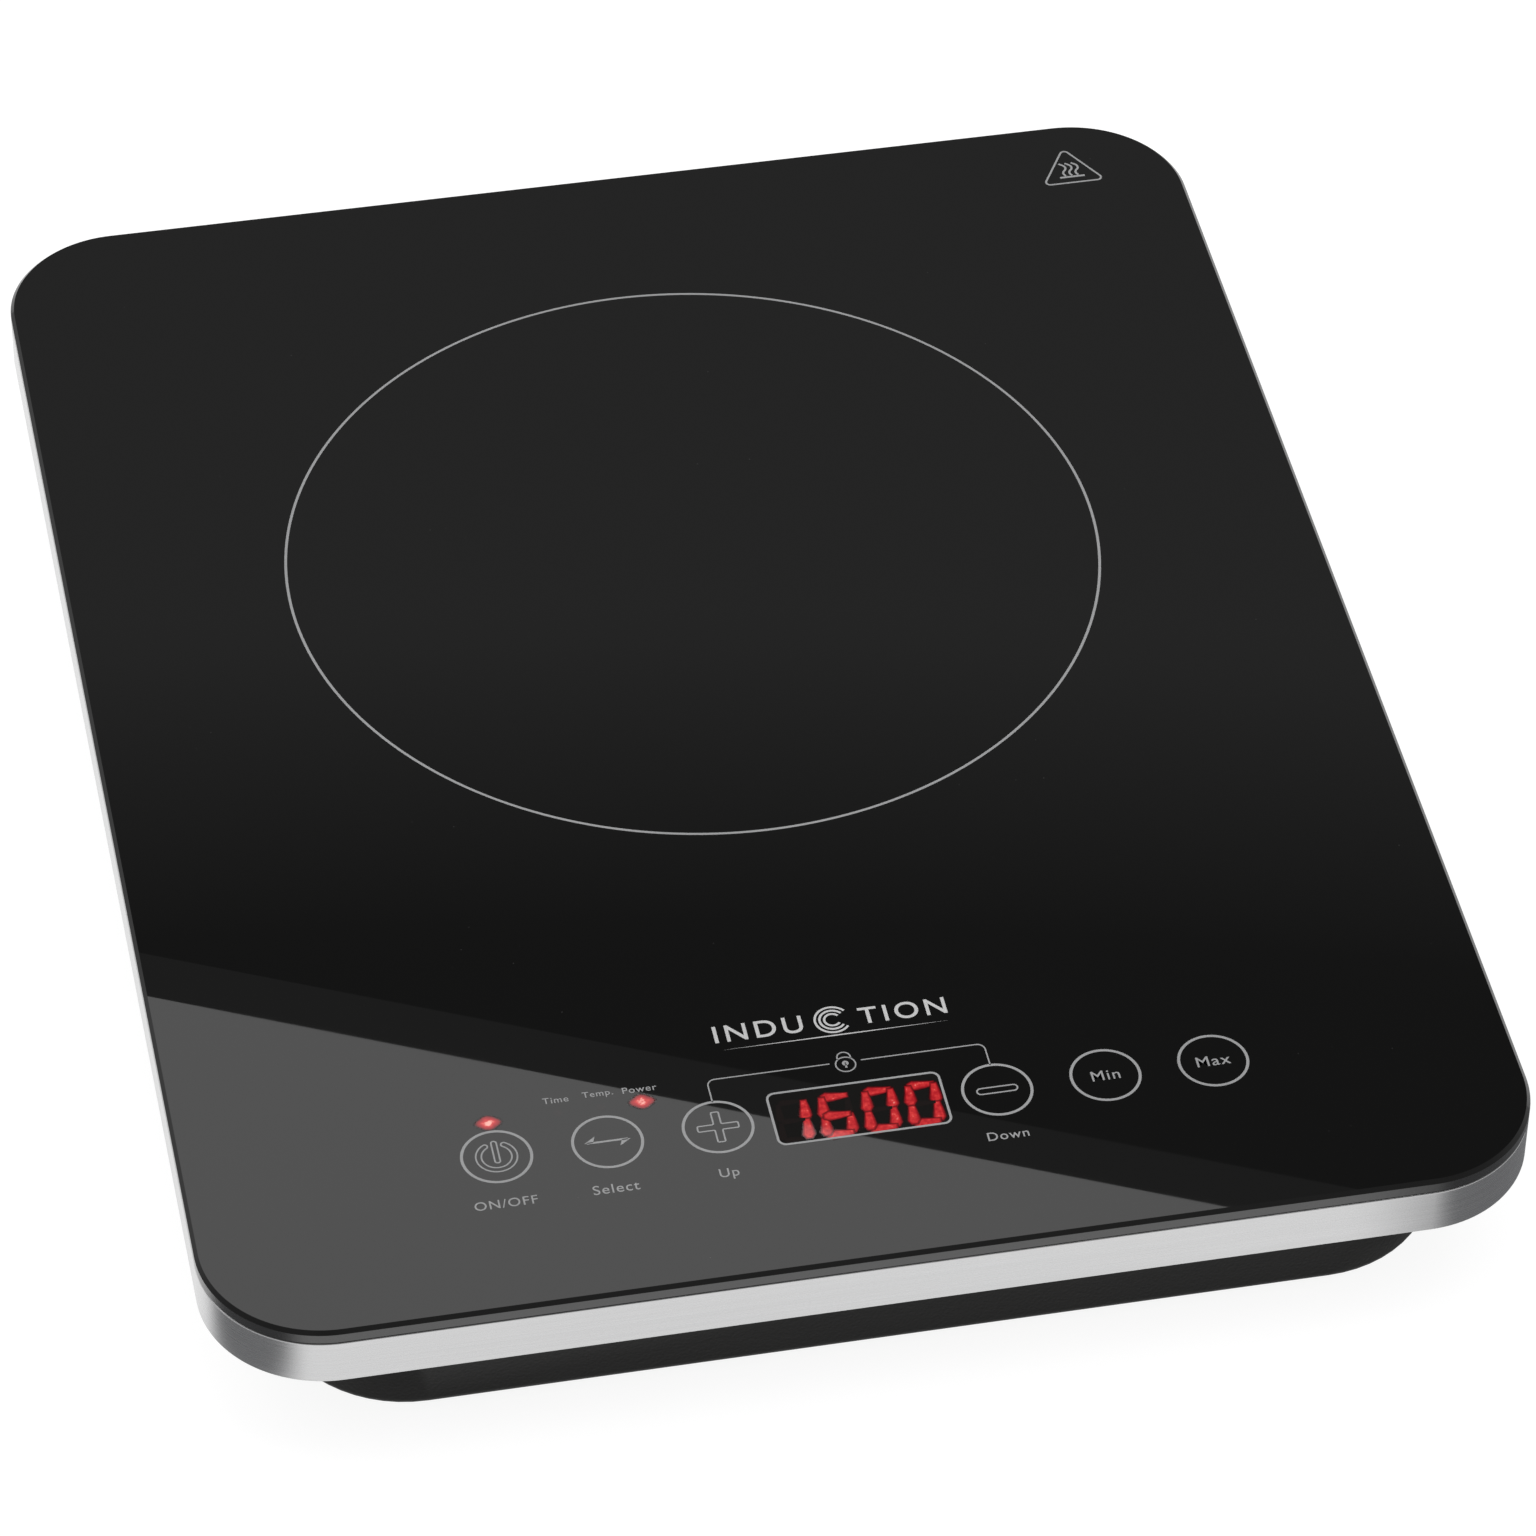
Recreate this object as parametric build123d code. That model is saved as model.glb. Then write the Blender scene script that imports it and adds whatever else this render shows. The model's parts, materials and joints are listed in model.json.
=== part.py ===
"""Portable single-zone induction cooktop, in millimetres.

Row frame: +Z up, front (control strip) at -Y, origin on the table under the middle of the glass.
A glass-ceramic plate is glued to a plastic upper frame that an aluminium band wraps. Six screws hold
the lower housing to that frame. Inside are the induction coil, a slim axial fan, the power board
and the touch control board. Each function below makes one or a few separate pieces.
"""

from build123d import *
from math import cos, pi, radians, sin
import os

os.makedirs("parts", exist_ok=True)

# ---- driving dimensions ----
plate_width = 280.0
plate_depth = 355.0
plate_corner = 26.5
total_height = 40.0
glass_thick = 3.3
glass_bevel = 0.8
glue_thick = 0.4
band_height = 11.2
band_wall = 1.2
band_lip = 3.0
foot_height = 5.0
base_width = 246.8
base_depth = 338.0
base_corner = 28.0
base_edge = 2.5
base_draft = 2.0
base_wall = 2.2
floor_thick = 2.5
flange_thick = 2.5

# ---- heights worked out from them ----
glass_bottom = total_height - glass_thick
frame_top = glass_bottom - glue_thick
band_bottom = glass_bottom - band_height
band_top = glass_bottom - 0.1
flange_top = band_bottom + 4.8
flange_bottom = flange_top - flange_thick
lip_top = flange_top + band_wall
base_bottom = foot_height
floor_top = base_bottom + floor_thick
frame_plate_thick = 2.6
frame_plate_bottom = frame_top - frame_plate_thick

# ---- cooking zone and coil ----
zone_y = 41.4
coil_inner = 24.0
coil_outer = 84.0
coil_turns = 27
coil_top = glass_bottom - 0.8
coil_bottom = coil_top - 3.9
former_thick = 3.1
former_bottom = coil_bottom - former_thick
former_radius = 86.0
ferrite_thick = 4.0
coil_lug_radius = 92.0
coil_lug_angles = (90, 210, 330)
coil_post_top = 18.0
sensor_radius = 3.5

# ---- fan ----
fan_x, fan_y = -72.0, -66.0
fan_size = 80.0
fan_thick = 15.0
fan_bottom = floor_top + 1.0
fan_top = fan_bottom + fan_thick
fan_bore = 38.0
fan_hole_pitch = 71.5
fan_blades = 7
hub_radius = 15.0
blade_tip = fan_bore - 1.0
shaft_radius = 1.5
shaft_clearance = 0.04

# ---- power board ----
board_x, board_y = 48.0, -61.0
board_width, board_depth = 140.0, 90.0
board_thick = 1.6
board_bottom = floor_top + 4.0
board_top = board_bottom + board_thick
board_hole_x, board_hole_y = 65.0, 40.0

# ---- control board ----
key_y = -135.2
key_xs = (-75.0, -51.8, -28.6, 30.5, 53.6, 76.7)
control_y = -132.0
tray_width, tray_depth, tray_thick = 208.0, 42.0, 2.5
control_width, control_depth = 200.0, 38.0
tray_bottom = 24.5
control_bottom = tray_bottom + tray_thick
control_top = control_bottom + board_thick
control_hole_x, control_hole_y = 96.0, 16.0
display_x = 1.0
led_spots = ((-75.0, -123.2), (-42.7, -123.2), (-51.4, -123.2), (-60.4, -123.2))

# ---- fasteners, feet and cord inlet ----
case_screws = [(x, y) for x in (-125.5, 125.5) for y in (-162.5, 162.5)] + [(-131.5, 0.0), (131.5, 0.0)]
foot_x, foot_y = 92.0, 138.0
foot_radius = 9.5
gland_x, gland_z = 92.0, 17.0
gland_bore = 3.6
pad_inner, pad_outer = 165.0, 171.0

UP = (Align.CENTER, Align.CENTER, Align.MIN)


# ---- small shape helpers ----
def slab(width, depth, corner, low, high, x=0.0, y=0.0):
    """A plate with rounded corners between two heights."""
    return Pos(x, y, low) * extrude(RectangleRounded(width, depth, corner), amount=high - low)


def block(width, depth, low, high, x=0.0, y=0.0):
    """A square-cornered box between two heights."""
    return Pos(x, y, low) * Box(width, depth, high - low, align=UP)


def rod(radius, low, high, x=0.0, y=0.0):
    """An upright cylinder between two heights."""
    return Pos(x, y, low) * Cylinder(radius, high - low, align=UP)


def tube(outer, inner, low, high, x=0.0, y=0.0):
    """An upright hollow cylinder."""
    return rod(outer, low, high, x, y) - rod(inner, low - 1, high + 1, x, y)


def polar(radius, degrees, x=0.0, y=0.0):
    """A point on a circle round (x, y)."""
    return x + radius * cos(radians(degrees)), y + radius * sin(radians(degrees))


def gather(pieces):
    """Separate solids kept together as one node."""
    return Compound(children=list(pieces))


def screw(length, x, y, seat, head=2.9, head_height=2.0, shank=1.4, upward=False):
    """A cross-recess pan-head screw. Its head's underside is at seat, and upward turns its tip up."""
    made = rod(head, 0, head_height)
    made = fillet(made.edges().group_by(Axis.Z)[-1], 0.7)
    for angle in (0, 90):
        made -= Pos(0, 0, head_height - 0.9) * Rot(0, 0, angle) * Box(0.8, 3.2, 2, align=UP)
    stem = rod(shank, -length, 0)
    made += chamfer(stem.edges().group_by(Axis.Z)[0], 0.5)
    if upward:
        made = Rot(180, 0, 0) * made
    return Pos(x, y, seat) * made


def coil_spring(radius, wire, low, high, turns, x, y):
    """A helical spring between two heights."""
    rise = high - low - 2 * wire
    path = Helix(pitch=rise / turns, height=rise, radius=radius)
    section = Plane(origin=path @ 0, z_dir=path % 0) * Circle(wire)
    return Pos(x, y, low + wire) * sweep(section, path=path)


def lead(points, radius, bend):
    """A round wire along straight runs joined by arcs."""
    path = FilletPolyline(*points, radius=bend) if len(points) > 2 else Line(*points)
    section = Plane(origin=path @ 0, z_dir=path % 0) * Circle(radius)
    return sweep(section, path=path)


def save(node, shape):
    """Writes one node's STEP file."""
    export_step(shape, f"parts/{node}.step")


# ---- outside ----
def glass_plate():
    plate = slab(plate_width, plate_depth, plate_corner, glass_bottom, total_height)
    plate = chamfer(plate.edges().group_by(Axis.Z)[-1], glass_bevel)
    return chamfer(plate.edges().group_by(Axis.Z)[0], 0.3)


def glass_adhesive():
    outer = slab(plate_width - 4, plate_depth - 4, plate_corner - 2, frame_top, glass_bottom)
    return outer - slab(plate_width - 18, plate_depth - 18, plate_corner - 9, frame_top - 1, glass_bottom + 1)


def upper_frame():
    """The glass carrier. Its skirt presses the band's lip onto the housing's flange."""
    side = band_wall + 0.2
    width, depth, corner = plate_width - 2 * side, plate_depth - 2 * side, plate_corner - side
    skirt = 2.0
    plate = slab(width, depth, corner, lip_top, frame_top)
    plate -= slab(width - 2 * skirt, depth - 2 * skirt, corner - skirt, lip_top - 1, frame_plate_bottom)
    plate -= slab(236, 311, 12, flange_top - 1, frame_top + 1)
    for x, y in case_screws:
        plate += rod(4.0, flange_top, frame_plate_bottom, x, y)
    for x, y in case_screws:
        plate -= rod(1.5, flange_top - 1, frame_top - 0.8, x, y)
    return plate


def trim_band():
    """The aluminium band, with an inner lip that the frame and the housing clamp."""
    outer = slab(plate_width, plate_depth, plate_corner, band_bottom, band_top)
    outer = chamfer(outer.edges().group_by(Axis.Z)[0], 0.4)
    side = band_wall
    outer -= slab(plate_width - 2 * side, plate_depth - 2 * side, plate_corner - side, 0, total_height)
    lip = band_wall + band_lip
    rim = slab(plate_width - side, plate_depth - side, plate_corner - side / 2, flange_top, lip_top)
    return outer + rim - slab(plate_width - 2 * lip, plate_depth - 2 * lip, plate_corner - lip, 0, total_height)


def base_shell(inset, low, high):
    """The housing's outline between two heights, drafted wider towards the top."""
    outline = RectangleRounded(base_width - 2 * inset, base_depth - 2 * inset, base_corner - inset)
    return Pos(0, 0, low) * extrude(outline, amount=high - low, taper=-base_draft)


def intake_grille():
    """Ring slots under the fan, with six spokes left between them."""
    slots = None
    for inner in (8.0, 14.0, 20.0, 26.0, 32.0):
        ring = tube(inner + 3.4, inner, base_bottom - 1, floor_top + 1)
        slots = ring if slots is None else slots + ring
    for spoke in range(6):
        slots -= Rot(0, 0, 30 + 60 * spoke) * block(40, 3.2, base_bottom - 2, floor_top + 2, 20)
    return Pos(fan_x, fan_y, 0) * slots


def vent_slots():
    """Outlet slots in the rear wall, both side walls and the floor under the coil."""
    cuts = []
    for i in range(21):
        cuts.append(block(3.4, 12, 11, 22, -98 + 8 * i, base_depth / 2))
    for side in (-1, 1):
        for i in range(9):
            cuts.append(block(12, 3.4, 11, 22, side * base_width / 2, 46 + 8 * i))
    for i in range(12):
        cuts.append(slab(3.4, 34, 1.6, base_bottom - 1, floor_top + 1, -44 + 8 * i, 104))
    return cuts


def housing_posts():
    """Screw posts that stand on the floor, as (x, y, top, outer radius, pilot radius)."""
    posts = []
    for dx in (-1, 1):
        for dy in (-1, 1):
            posts.append((board_x + dx * board_hole_x, board_y + dy * board_hole_y, board_bottom, 3.5, 1.2))
            posts.append((dx * control_hole_x, control_y + dy * control_hole_y, tray_bottom, 3.5, 1.2))
            fan_hole = fan_hole_pitch / 2
            posts.append((fan_x + dx * fan_hole, fan_y + dy * fan_hole, fan_bottom, 4.0, 1.6))
    for angle in coil_lug_angles:
        x, y = polar(coil_lug_radius, angle, 0, zone_y)
        posts.append((x, y, coil_post_top, 4.5, 1.6))
    return posts


def lower_housing():
    body = base_shell(0, base_bottom, flange_bottom)
    body = fillet(body.edges().group_by(Axis.Z)[0], base_edge)
    side = band_wall + 0.5
    body += slab(
        plate_width - 2 * side, plate_depth - 2 * side, plate_corner - side, flange_bottom, flange_top
    )
    body -= base_shell(base_wall, floor_top, flange_top + 1)
    body += Pos(gland_x, (pad_inner + pad_outer) / 2, gland_z) * Box(22, pad_outer - pad_inner, 19)
    body -= intake_grille()
    for cut in vent_slots():
        body -= cut
    for x, y, top, outer, pilot in housing_posts():
        body += rod(outer, floor_top - 0.5, top, x, y)
    for x, y, top, outer, pilot in housing_posts():
        body -= rod(pilot, base_bottom + 1.0, top + 1, x, y)
    for x, y in case_screws:
        body -= rod(1.6, flange_bottom - 1, flange_top + 1, x, y)
    for x in (-foot_x, foot_x):
        for y in (-foot_y, foot_y):
            body -= rod(3.6, base_bottom - 1, floor_top + 1, x, y)
    body -= Pos(gland_x, pad_inner - 1, gland_z) * Rot(-90, 0, 0) * Cylinder(5.0, 9, align=UP)
    body -= slab(64.4, 34.4, 3.2, base_bottom - 1, base_bottom + 0.3, 30, 50)
    return body


def rating_label():
    return slab(64, 34, 3, base_bottom + 0.05, base_bottom + 0.3, 30, 50)


def rubber_foot(x, y):
    pad = rod(foot_radius, 0, base_bottom, x, y)
    pad = fillet(pad.edges().group_by(Axis.Z)[0], 1.2)
    pad += rod(3.5, base_bottom - 0.5, floor_top, x, y)
    bulb = rod(4.6, floor_top, floor_top + 2, x, y)
    return pad + chamfer(bulb.edges().group_by(Axis.Z)[-1], 1.2)


def cord_gland():
    """A rubber bushing that lines the cord hole, with a flange each side of the wall pad."""
    turn = Pos(gland_x, 0, gland_z) * Rot(-90, 0, 0)
    made = turn * (rod(8.0, pad_outer, pad_outer + 3) + rod(4.9, pad_inner, pad_outer))
    made += turn * rod(7.0, pad_inner - 3, pad_inner)
    return made - turn * rod(gland_bore, pad_inner - 4, pad_outer + 4)


def housing_screws():
    return gather(screw(6.5, x, y, flange_bottom, shank=1.4, upward=True) for x, y in case_screws)


# ---- induction coil ----
def mica_sheet():
    return tube(88.0, 8.0, coil_top, glass_bottom - 0.1, 0, zone_y)


def coil_winding():
    """The litz winding, drawn as turns pressed side by side."""
    pitch = (coil_outer - coil_inner) / coil_turns
    height = coil_top - coil_bottom
    profile = Rectangle(coil_outer - coil_inner - 0.6, height - 1.0)
    profile = Pos((coil_outer + coil_inner) / 2, 0) * profile
    for turn in range(coil_turns):
        middle = coil_inner + (turn + 0.5) * pitch
        profile += Pos(middle, 0) * RectangleRounded(pitch - 0.05, height, 0.9)
    ring = revolve(Plane.XZ * profile, Axis.Z)
    return Pos(0, zone_y, (coil_top + coil_bottom) / 2) * ring


def coil_former():
    """The carrier under the winding: hub, eight arms, rim and three lugs."""
    made = tube(former_radius, 78, former_bottom, coil_bottom) + tube(28, 7.2, former_bottom, coil_bottom)
    made += tube(54, 50, former_bottom, coil_bottom)
    for arm in range(8):
        made += Rot(0, 0, 45 * arm) * block(54, 7, former_bottom, coil_bottom, 53)
    for angle in coil_lug_angles:
        x, y = polar(coil_lug_radius, angle)
        made += rod(6.0, former_bottom, coil_bottom, x, y)
        made += Rot(0, 0, angle) * block(12, 12, former_bottom, coil_bottom, coil_lug_radius - 6)
    for angle in coil_lug_angles:
        x, y = polar(coil_lug_radius, angle)
        made -= rod(1.9, former_bottom - 1, coil_bottom + 1, x, y)
    return Pos(0, zone_y, 0) * made


def ferrite_bars():
    low, high = former_bottom - ferrite_thick, former_bottom
    return gather(
        Pos(0, zone_y, 0) * Rot(0, 0, 22.5 + 45 * i) * slab(48, 12, 1.0, low, high, 53) for i in range(8)
    )


def lug_places():
    return [polar(coil_lug_radius, angle, 0, zone_y) for angle in coil_lug_angles]


def coil_springs():
    low, high = coil_post_top + 0.05, former_bottom - 0.05
    return gather(coil_spring(3.4, 0.45, low, high, 4, x, y) for x, y in lug_places())


def coil_screws():
    return gather(screw(20, x, y, coil_bottom, shank=1.5) for x, y in lug_places())


def temperature_sensor():
    return fillet(
        rod(sensor_radius, coil_bottom, glass_bottom - 0.05, 0, zone_y).edges().group_by(Axis.Z)[-1], 0.5
    )


def sensor_holder():
    body = rod(7.0, former_bottom, coil_top - 0.5, 0, zone_y)
    body += rod(10.0, former_bottom - 2, former_bottom, 0, zone_y)
    body -= rod(sensor_radius, coil_bottom, coil_top, 0, zone_y)
    return body - rod(1.3, former_bottom - 3, coil_bottom + 1, 0, zone_y)


def sensor_lead():
    low = 21.0
    header_y = -22.0
    points = [(0, zone_y, coil_bottom), (0, zone_y, low), (0, header_y, low), (0, header_y, board_top + 5)]
    return lead(points, 1.0, 2.0)


def coil_leads():
    """Two insulated tails from the winding's rim down to the terminals on the power board."""
    middle = (coil_top + coil_bottom) / 2
    tails = []
    for x, y in coil_terminal_spots():
        dx, dy = x, y - zone_y
        reach = (dx * dx + dy * dy) ** 0.5
        start = (dx * coil_outer / reach, zone_y + dy * coil_outer / reach, middle)
        tails.append(lead([start, (x, y, middle), (x, y, board_top + 6)], 1.6, 4.0))
    return gather(tails)


def coil_terminal_spots():
    return [polar(coil_outer + 8, angle, 0, zone_y) for angle in (-70, -60)]


# ---- fan ----
def at_fan(shape):
    return Pos(fan_x, fan_y, 0) * shape


motor_plate_bottom = fan_top - 2.0
hub_bottom = fan_bottom + 1.0
hub_wall = 1.2
hub_top = motor_plate_bottom - 0.9


def fan_frame():
    """The square frame, four struts, and the motor plate with its bearing tube."""
    made = slab(fan_size, fan_size, 4, fan_bottom, fan_top) - rod(fan_bore, fan_bottom - 1, fan_top + 1)
    made += rod(16, motor_plate_bottom, fan_top)
    for i in range(4):
        made += Rot(0, 0, 20 + 90 * i) * block(24.6, 3, motor_plate_bottom, fan_top, 26.7)
    made += rod(4.2, hub_bottom + 2.6, motor_plate_bottom)
    made -= rod(3.0, hub_bottom, fan_top - 0.6)
    for dx in (-1, 1):
        for dy in (-1, 1):
            made -= rod(2.15, fan_bottom - 1, fan_top + 1, dx * fan_hole_pitch / 2, dy * fan_hole_pitch / 2)
    return at_fan(made)


def fan_bearing():
    return at_fan(tube(3.0, shaft_radius + shaft_clearance, hub_bottom + 2.6, fan_top - 0.6))


def fan_shaft():
    return at_fan(rod(shaft_radius, hub_bottom + 0.6, fan_top - 1.2))


def fan_blade():
    """One curved blade from the hub to the tip, cut to the swept ring."""
    low, high = fan_bottom + 1.2, motor_plate_bottom - 0.9
    rise = high - low - 1.2
    arc = SagittaArc((-6.5, -rise / 2), (6.5, rise / 2), 1.8)
    foil = Plane.YZ * trace(arc, 1.3)
    blade = Pos(hub_radius - 1.0, 0, (low + high) / 2) * extrude(foil, amount=blade_tip - hub_radius + 2)
    return blade & tube(blade_tip, hub_radius - 0.6, low, high)


def fan_impeller():
    hub = rod(hub_radius, hub_bottom, hub_top)
    hub = fillet(hub.edges().group_by(Axis.Z)[0], 1.0)
    hub -= rod(hub_radius - hub_wall, hub_bottom + hub_wall, hub_top + 1)
    hub += rod(3.0, hub_bottom + hub_wall, hub_bottom + 2.2)
    hub -= rod(shaft_radius, hub_bottom + 0.6, hub_bottom + 3)
    blade = fan_blade()
    for i in range(fan_blades):
        hub += Rot(0, 0, i * 360 / fan_blades) * blade
    return at_fan(hub)


def fan_magnet():
    return at_fan(tube(hub_radius - hub_wall, 12.2, hub_bottom + hub_wall, hub_top - 0.6))


def fan_stator_core():
    low, high = hub_bottom + 3.6, hub_top - 2.4
    core = tube(5.8, 4.2, low, high)
    shoes = tube(11.4, 10.0, low, high)
    for i in range(4):
        gap = Rot(0, 0, 45 + 90 * i) * block(14, 3.0, low - 1, high + 1, 9)
        shoes -= gap
    for i in range(4):
        core += Rot(0, 0, 90 * i) * block(5.4, 2.4, low, high, 8.0)
    return at_fan(core + shoes)


def fan_windings():
    low, high = hub_bottom + 3.0, hub_top - 1.8
    coils = []
    for i in range(4):
        coil = block(3.2, 5.0, low, high, 7.8) - block(5, 2.5, low + 0.5, high - 0.5, 7.8)
        coils.append(at_fan(Rot(0, 0, 90 * i) * coil))
    return gather(coils)


def fan_circuit_board():
    return at_fan(tube(11.6, 4.3, hub_top - 0.9, hub_top - 0.1))


def fan_screws():
    half = fan_hole_pitch / 2
    return gather(
        screw(fan_thick + 1.4, fan_x + dx * half, fan_y + dy * half, fan_top, shank=1.5)
        for dx in (-1, 1)
        for dy in (-1, 1)
    )


fan_header_x, fan_header_y = -17.0, -88.0


def fan_lead():
    level = fan_top - 3
    start = fan_x + fan_size / 2
    points = [(start, fan_header_y, level), (fan_header_x, fan_header_y, level)]
    points.append((fan_header_x, fan_header_y, board_top + 5))
    return lead(points, 1.1, 2.0)


# ---- power board ----
def board_corners():
    return [(board_x + dx * board_hole_x, board_y + dy * board_hole_y) for dx in (-1, 1) for dy in (-1, 1)]


def power_board():
    board = slab(board_width, board_depth, 2, board_bottom, board_top, board_x, board_y)
    for x, y in board_corners():
        board -= rod(1.7, board_bottom - 1, board_top + 1, x, y)
    return board


def power_board_screws():
    return gather(screw(6, x, y, board_top, head=2.7, head_height=1.8, shank=1.1) for x, y in board_corners())


heatsink_x, heatsink_y = 16.0, -76.0
heatsink_width, heatsink_depth = 48.0, 44.0
package_top = board_top + 5.0


def heatsink():
    """A finned extrusion that stands over the power devices on two legs."""
    base_top = package_top + 3
    made = block(heatsink_width, heatsink_depth, package_top, base_top, heatsink_x, heatsink_y)
    for i in range(11):
        x = heatsink_x - heatsink_width / 2 + 0.75 + i * (heatsink_width - 1.5) / 10
        made += block(1.5, heatsink_depth, base_top, base_top + 12, x, heatsink_y)
    for side in (-1, 1):
        x = heatsink_x + side * (heatsink_width / 2 - 1)
        made += block(2, heatsink_depth, board_top, package_top, x, heatsink_y)
    return made


def power_package(x):
    body = block(15.8, 20.8, board_top, package_top, x, heatsink_y)
    return chamfer(body.edges().group_by(Axis.Z)[0], 0.4)


def film_capacitor(x, y, width, depth, height):
    body = block(width, depth, board_top, board_top + height, x, y)
    return fillet(body.edges().group_by(Axis.Z)[-1], 0.8)


choke_x, choke_y = 98.0, -84.0
choke_inner, choke_outer, choke_height = 7.0, 13.0, 9.0


def choke_core():
    low = board_top + 2
    ring = tube(choke_outer, choke_inner, low, low + choke_height, choke_x, choke_y)
    return fillet(ring.edges(), 0.6)


def choke_winding():
    """Separate turns of wire round the ring core."""
    width = choke_outer - choke_inner
    low = board_top + 2
    middle = (choke_outer + choke_inner) / 2
    turn = block(width + 2.6, 1.2, low - 1.3, low + choke_height + 1.3, middle)
    turn -= block(width + 0.2, 2, low - 0.1, low + choke_height + 0.1, middle)
    return gather(Pos(choke_x, choke_y, 0) * Rot(0, 0, 20 * i) * turn for i in range(18))


def electrolytic_capacitors():
    cans = []
    for x in (90.0, 102.0):
        can = rod(5.0, board_top, board_top + 14, x, -58.0)
        can = fillet(can.edges().group_by(Axis.Z)[-1], 0.8)
        cans.append(can - tube(6.0, 4.7, board_top + 2.0, board_top + 2.8, x, -58.0))
    return gather(cans)


def fuse():
    """A glass fuse with two end caps, across its clips, as separate solids."""
    centre = Pos(64.0, -36.0, board_top + 4.5) * Rot(0, 90, 0)
    glass = centre * tube(2.4, 2.0, -7, 7)
    caps = [centre * rod(2.6, low, low + 5) for low in (-12, 7)]
    clips = [block(4, 7, board_top, board_top + 1.8, 64.0 + dx, -36.0) for dx in (-9.5, 9.5)]
    return gather([glass] + caps + clips)


def transformer_core():
    core = block(22, 18, board_top + 1, board_top + 17, 98.0, -36.0)
    for side in (-1, 1):
        core -= block(5.2, 20, board_top + 4, board_top + 14, 98.0 + side * 5.4, -36.0)
    return core


def transformer_winding():
    inner = block(5.8, 18.3, board_top, board_top + 20, 98.0, -36.0)
    coil = slab(15.6, 22, 2, board_top + 4.4, board_top + 13.6, 98.0, -36.0)
    coil -= inner
    return coil - block(20, 18.2, board_top, board_top + 4.2, 98.0, -36.0)


def buzzer():
    x, y = -6.0, -40.0
    return rod(6.0, board_top, board_top + 4.2, x, y) + tube(6.0, 1.2, board_top + 4, board_top + 8, x, y)


def coil_terminals():
    return gather(slab(8, 8, 1, board_top, board_top + 6, x, y) for x, y in coil_terminal_spots())


def mains_terminals():
    y = -22.0
    tabs = []
    for x in (70.0, 82.0):
        foot = block(7, 4, board_top, board_top + 2, x, y)
        tabs.append(foot + block(6.3, 0.8, board_top, board_top + 10, x, y))
    return gather(tabs)


ribbon_x, ribbon_y = 70.0, -102.0


def board_connectors():
    """White headers for the fan, the sensor, the ribbon and the ribbon's far end."""
    fan = block(6, 5, board_top, board_top + 5, fan_header_x, fan_header_y)
    sensor = block(6, 5, board_top, board_top + 5, 0, -22.0)
    ribbon = block(14, 4.6, board_top, board_top + 6, ribbon_x, ribbon_y)
    far = block(14, 5, control_top, control_top + 5, ribbon_x, -114.5)
    return gather([fan, sensor, ribbon, far])


def ribbon_cable():
    level = control_top + 2.4
    path = FilletPolyline((-112, level), (ribbon_y, level), (ribbon_y, board_top + 6), radius=3)
    strip = extrude(Plane.YZ * trace(path, 0.8), amount=6, both=True)
    return Pos(ribbon_x, 0, 0) * strip


# ---- control board ----
def control_corners():
    return [(dx * control_hole_x, control_y + dy * control_hole_y) for dx in (-1, 1) for dy in (-1, 1)]


def control_tray():
    tray = slab(tray_width, tray_depth, 3, tray_bottom, control_bottom, 0, control_y)
    tray -= slab(120, 20, 3, tray_bottom - 1, control_bottom + 1, 0, control_y)
    for x, y in control_corners():
        tray -= rod(1.8, tray_bottom - 1, control_bottom + 1, x, y)
    return tray


def control_board():
    board = slab(control_width, control_depth, 2, control_bottom, control_top, 0, control_y)
    for x, y in control_corners():
        board -= rod(1.7, control_bottom - 1, control_top + 1, x, y)
    return board


def control_board_screws():
    spots = control_corners()
    return gather(screw(9, x, y, control_top, head=2.7, head_height=1.8, shank=1.1) for x, y in spots)


def display_module():
    body = block(38.0, 14.2, control_top, glass_bottom - 0.3, display_x, key_y)
    for i in range(4):
        x = display_x - 13.95 + 9.3 * i
        body -= slab(7.6, 12.0, 0.8, glass_bottom - 0.9, glass_bottom, x, key_y)
    return body


def indicator_leds():
    lamps = []
    for x, y in led_spots:
        lamp = rod(1.5, control_top, glass_bottom - 0.3, x, y)
        lamp = fillet(lamp.edges().group_by(Axis.Z)[-1], 1.2)
        lamps.append(lamp + rod(1.9, control_top, control_top + 1, x, y))
    return gather(lamps)


def touch_springs():
    low, high = control_top + 0.05, glass_bottom - 0.05
    return gather(coil_spring(4.2, 0.4, low, high, 5, x, key_y) for x in key_xs)


def microcontroller():
    chip = block(12, 7, control_top, control_top + 1.8, 20.0, -119.0)
    return chamfer(chip.edges().group_by(Axis.Z)[-1], 0.3)


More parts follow.
